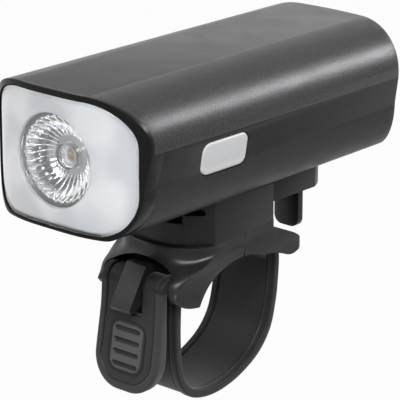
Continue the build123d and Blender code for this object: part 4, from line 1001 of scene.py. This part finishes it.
def front_sheet(name, node, edge, hole_r):
    """A sheet on rings from the outline to the lens, or to the middle."""
    face, rear = bend_of(node, "front"), bend_of(node, "rear")
    has_hole = hole_r > 1
    fronts, backs = [], []
    for share in ring_shares:
        for x, z in window_outline:
            away = math.hypot(x, z - lens_z)
            keep = hole_r / away
            k = (1 - share) + share * keep
            down = fall(away * (1 - k), edge)
            if has_hole:
                down = max(down, fall(away * (k - keep), hole_round))
            px, pz = x * k, lens_z + (z - lens_z) * k
            fronts.append((px, face(px) + down, pz))
            backs.append((px, rear(px), pz))
    n, count = len(window_outline), len(ring_shares)
    layer = count * n
    last = layer - n
    faces = []
    for start in (0, layer):
        for r in range(count - 1):
            faces += band(start + r * n, start + (r + 1) * n, n)
    faces += band(0, layer, n)
    if has_hole:
        faces += band(last, layer + last, n)
    else:
        faces += [tuple(last + i for i in range(n)), tuple(layer + last + i for i in range(n))]
    return smooth_shade(piece(name, fronts + backs, faces), 50)


stand_for(front_sheet("window_sheet", "front_cover", 0.3, 0.2), "front_cover")
stand_for(front_sheet("milky_sheet", "milky_panel", 1.5, 11.45), "milky_panel")

# %% [markdown]
# The power button is a frosted silicone pad in a window of the lower shell. Its face has to follow
# the shell's curved side, so rays are cast on the CAD piece from outside, and the new mesh is laid on
# the points that they hit. Rings of a rounded rectangle, each a little further in, make a pad with a
# soft edge and a light crown.

# %% Rings of a rounded rectangle
def ring(half_a, half_b, radius):
    """Points (a, b) round a rounded rectangle, always as many."""
    r = min(radius, half_a, half_b)
    a, b = half_a - r, half_b - r
    return round_corners([(a, b, r, r), (-a, b, r, r), (-a, -b, r, r), (a, -b, r, r)], 8, 14)


def add_rings(points, faces, rings):
    """Rings joined one to the next, with a face over each end."""
    first, n = len(points), len(rings[0])
    last = first + (len(rings) - 1) * n
    for loop in rings:
        points += loop
    for start in range(first, last, n):
        faces += band(start, start + n, n)
    faces.append(tuple(first + i for i in reversed(range(n))))
    faces.append(tuple(last + i for i in range(n)))

# %% Power button
hull = BVHTree.FromObject(nodes["power_button"], bpy.context.evaluated_depsgraph_get())
button_y, button_z, button_half_y, button_half_z, button_corner = -17.95, 48.1, 8.0, 4.05, 2.4
button_back_x, button_edge, crown, crown_over = 21.3, 0.55, 0.12, 3.5
flange_half_y, flange_half_z, flange_corner = 8.9, 4.95, 2.8
ray_margin, outside_x = 0.3, 30


def side_x(y, z):
    """Where the CAD button's face lies, in millimetres."""
    y = button_y + max(min(y - button_y, button_half_y - ray_margin), ray_margin - button_half_y)
    z = button_z + max(min(z - button_z, button_half_z - ray_margin), ray_margin - button_half_z)
    return hull.ray_cast(Vector((outside_x * MM, y * MM, z * MM)), Vector((-1, 0, 0)))[0].x / MM


rings = [[(button_back_x, button_y + a, button_z + b)
          for a, b in ring(button_half_y, button_half_z, button_corner)]]
for inset in (0, 0.03, 0.1, 0.2, 0.35, 0.55, 0.8, 1.2, 1.8, 2.5, 3.3, 4.0):
    loop = []
    for a, b in ring(button_half_y - inset, button_half_z - inset, max(button_corner - inset, 0.05)):
        y, z = button_y + a, button_z + b
        loop.append((side_x(y, z) - fall(inset, button_edge) + crown * smooth(inset / crown_over), y, z))
    rings.append(loop)
points, faces = [], []
add_rings(points, faces, rings)
flange = ring(flange_half_y, flange_half_z, flange_corner)
add_rings(points, faces, [[(x, button_y + a, button_z + b) for a, b in flange] for x in (21.2, 22.1)])
stand_for(smooth_shade(piece("power_pad", points, faces)), "power_button")

# %% [markdown]
# The charging port's flap is soft too: a crowned plate, a knuckle on a pin, a plug that fills the
# port, and a lip for the fingernail. It opens on its pin, so the knuckle is a tube round that pin.

# %% Port flap
flap_mid, flap_half_h, flap_half_w, flap_corner = 55.61, 4.4, 8.2, 3.6
flap_face, flap_back = 49.6, 48.3
flap_edge, flap_crown, flap_crown_over = 0.5, 0.25, 3.4
pin_y, pin_z, knuckle_bore, knuckle_r, knuckle_half, knuckle_edge = 49.5, 49.91, 0.7, 1.2, 4.0, 0.2
stem_y, stem_z, plug_z, lip_z = 48.95, 50.9, 56.11, 58.9


def flap_ring(y, mid_z, half_w, half_h, corner_r):
    """A ring that lies in a plane across Y."""
    return [(a, y, mid_z + b) for a, b in ring(half_w, half_h, corner_r)]


points, faces = [], []
rings = [flap_ring(flap_back + rise, flap_mid, flap_half_w - inset, flap_half_h - inset, flap_corner - inset)
         for inset, rise in ((0.4, 0), (0.12, 0.08), (0, 0.3))]
for inset in (0, 0.04, 0.12, 0.25, 0.45, 0.7, 1.1, 1.7, 2.5, 3.4, 4.2):
    y = flap_face - flap_crown - fall(inset, flap_edge) + flap_crown * smooth(inset / flap_crown_over)
    rings.append(flap_ring(y, flap_mid, flap_half_w - inset, flap_half_h - inset,
                           max(flap_corner - inset, 0.1)))
add_rings(points, faces, rings)
add_rings(points, faces, [[(x, stem_y + a, stem_z + b) for a, b in ring(0.6, 1.35, 0.25)]
                          for x in (-knuckle_half, knuckle_half)])
add_tube(points, faces, pin_y, pin_z, knuckle_bore, knuckle_r, knuckle_half, knuckle_edge)
add_rings(points, faces, [flap_ring(y, plug_z, 4.35 - inset, 1.45 - inset, 1.4 - inset)
                          for inset, y in ((0.25, 47.4), (0, 47.65), (0, 48.4))])
add_rings(points, faces, [flap_ring(y, lip_z, 3.2 - inset, 0.45 - inset * 0.8, 0.4)
                          for inset, y in ((0, 49.3), (0, 49.75), (0.1, 49.95), (0.3, 50.05))])
stand_for(smooth_shade(piece("flap_dressed", points, faces)), "port_flap")

# %% [markdown]
# The light is a plain photo studio. The main soft box stands high at the camera's side, a wide weak
# one at the left and a small one above fill the shadows, and a narrow strip behind the right
# shoulder draws the bright line along it. The floor lies well below the lamp, so its soft shadow
# falls out of the way. Floor and world are white to the camera, through clear pieces and in
# reflections, which the Light Path node tells apart, while light itself meets a matt grey floor and
# a faint world. From below the floor is clear, so the mount can be looked at from there as well.

# %% Floor
white_floor_share = 0.97
floor_z, floor_half = -0.08, 3


def shown_white(tree):
    """1 for rays from the camera, through clear pieces or off shiny ones."""
    path = put(tree, "ShaderNodeLightPath").outputs
    seen = put(tree, "ShaderNodeMath", {0: path["Is Camera Ray"], 1: path["Is Transmission Ray"]},
               operation="MAXIMUM")
    return put(tree, "ShaderNodeMath", {0: seen, 1: path["Is Glossy Ray"]}, operation="MAXIMUM")


def make_floor():
    material = make_surface("paper_floor_matt", {"fibre": (12.0, 3.0)}, rough=("fibre", 0.85, 0.95),
                            base="#8c8c8a")
    tree = material.node_tree
    part = put(tree, "ShaderNodeMath", {0: shown_white(tree), 1: white_floor_share}, operation="MULTIPLY")
    white = put(tree, "ShaderNodeEmission", {"Color": (1, 1, 1, 1), "Strength": 1.0})
    both = put(tree, "ShaderNodeMixShader", {0: part, 1: tree.nodes["Principled BSDF"], 2: white})
    under = put(tree, "ShaderNodeNewGeometry").outputs["Backfacing"]
    sided = put(tree, "ShaderNodeMixShader", {0: under, 1: both, 2: put(tree, "ShaderNodeBsdfTransparent")})
    tree.links.new(sided.outputs[0], tree.nodes["Material Output"].inputs["Surface"])
    return material


floor_mesh = bpy.data.meshes.new("floor")
corners = [(x * floor_half, y * floor_half, floor_z) for x, y in ((-1, -1), (1, -1), (1, 1), (-1, 1))]
floor_mesh.from_pydata(corners, [], [(0, 1, 2, 3)])
floor_mesh.materials.append(make_floor())
floor = bpy.data.objects.new("floor", floor_mesh)
bpy.context.collection.objects.link(floor)

# %% World and lamps
world = bpy.data.worlds.new("studio")
bpy.context.scene.world = world
world.use_nodes = True
tree = world.node_tree
tree.nodes.clear()
fill = put(tree, "ShaderNodeBackground", {"Color": linear("#f4f4f4"), "Strength": 0.12})
white = put(tree, "ShaderNodeBackground", {"Color": (1, 1, 1, 1), "Strength": 1.0})
both = put(tree, "ShaderNodeMixShader", {0: shown_white(tree), 1: fill, 2: white})
put(tree, "ShaderNodeOutputWorld", {"Surface": both})

for name, place, aim_z, size, watts in (("softbox_front", (0.5, -0.55, 0.65), 0.04, (0.45, 0.45), 13.0),
                                        ("softbox_left", (-0.7, -0.5, 0.55), 0.04, (0.8, 0.6), 2.5),
                                        ("softbox_top", (-0.05, -0.05, 0.7), 0.04, (0.4, 0.4), 1.0),
                                        ("strip_back_right", (0.42, 0.62, 0.42), 0.05, (0.5, 0.08), 4.2)):
    data = bpy.data.lights.new(name, "AREA")
    data.shape = "RECTANGLE"
    data.size, data.size_y = size
    data.energy = watts
    lamp = bpy.data.objects.new(name, data)
    bpy.context.collection.objects.link(lamp)
    lamp.location = place
    lamp.rotation_euler = (Vector((0, 0, aim_z)) - Vector(place)).to_track_quat("-Z", "Y").to_euler()
    print(name, watts, "W")
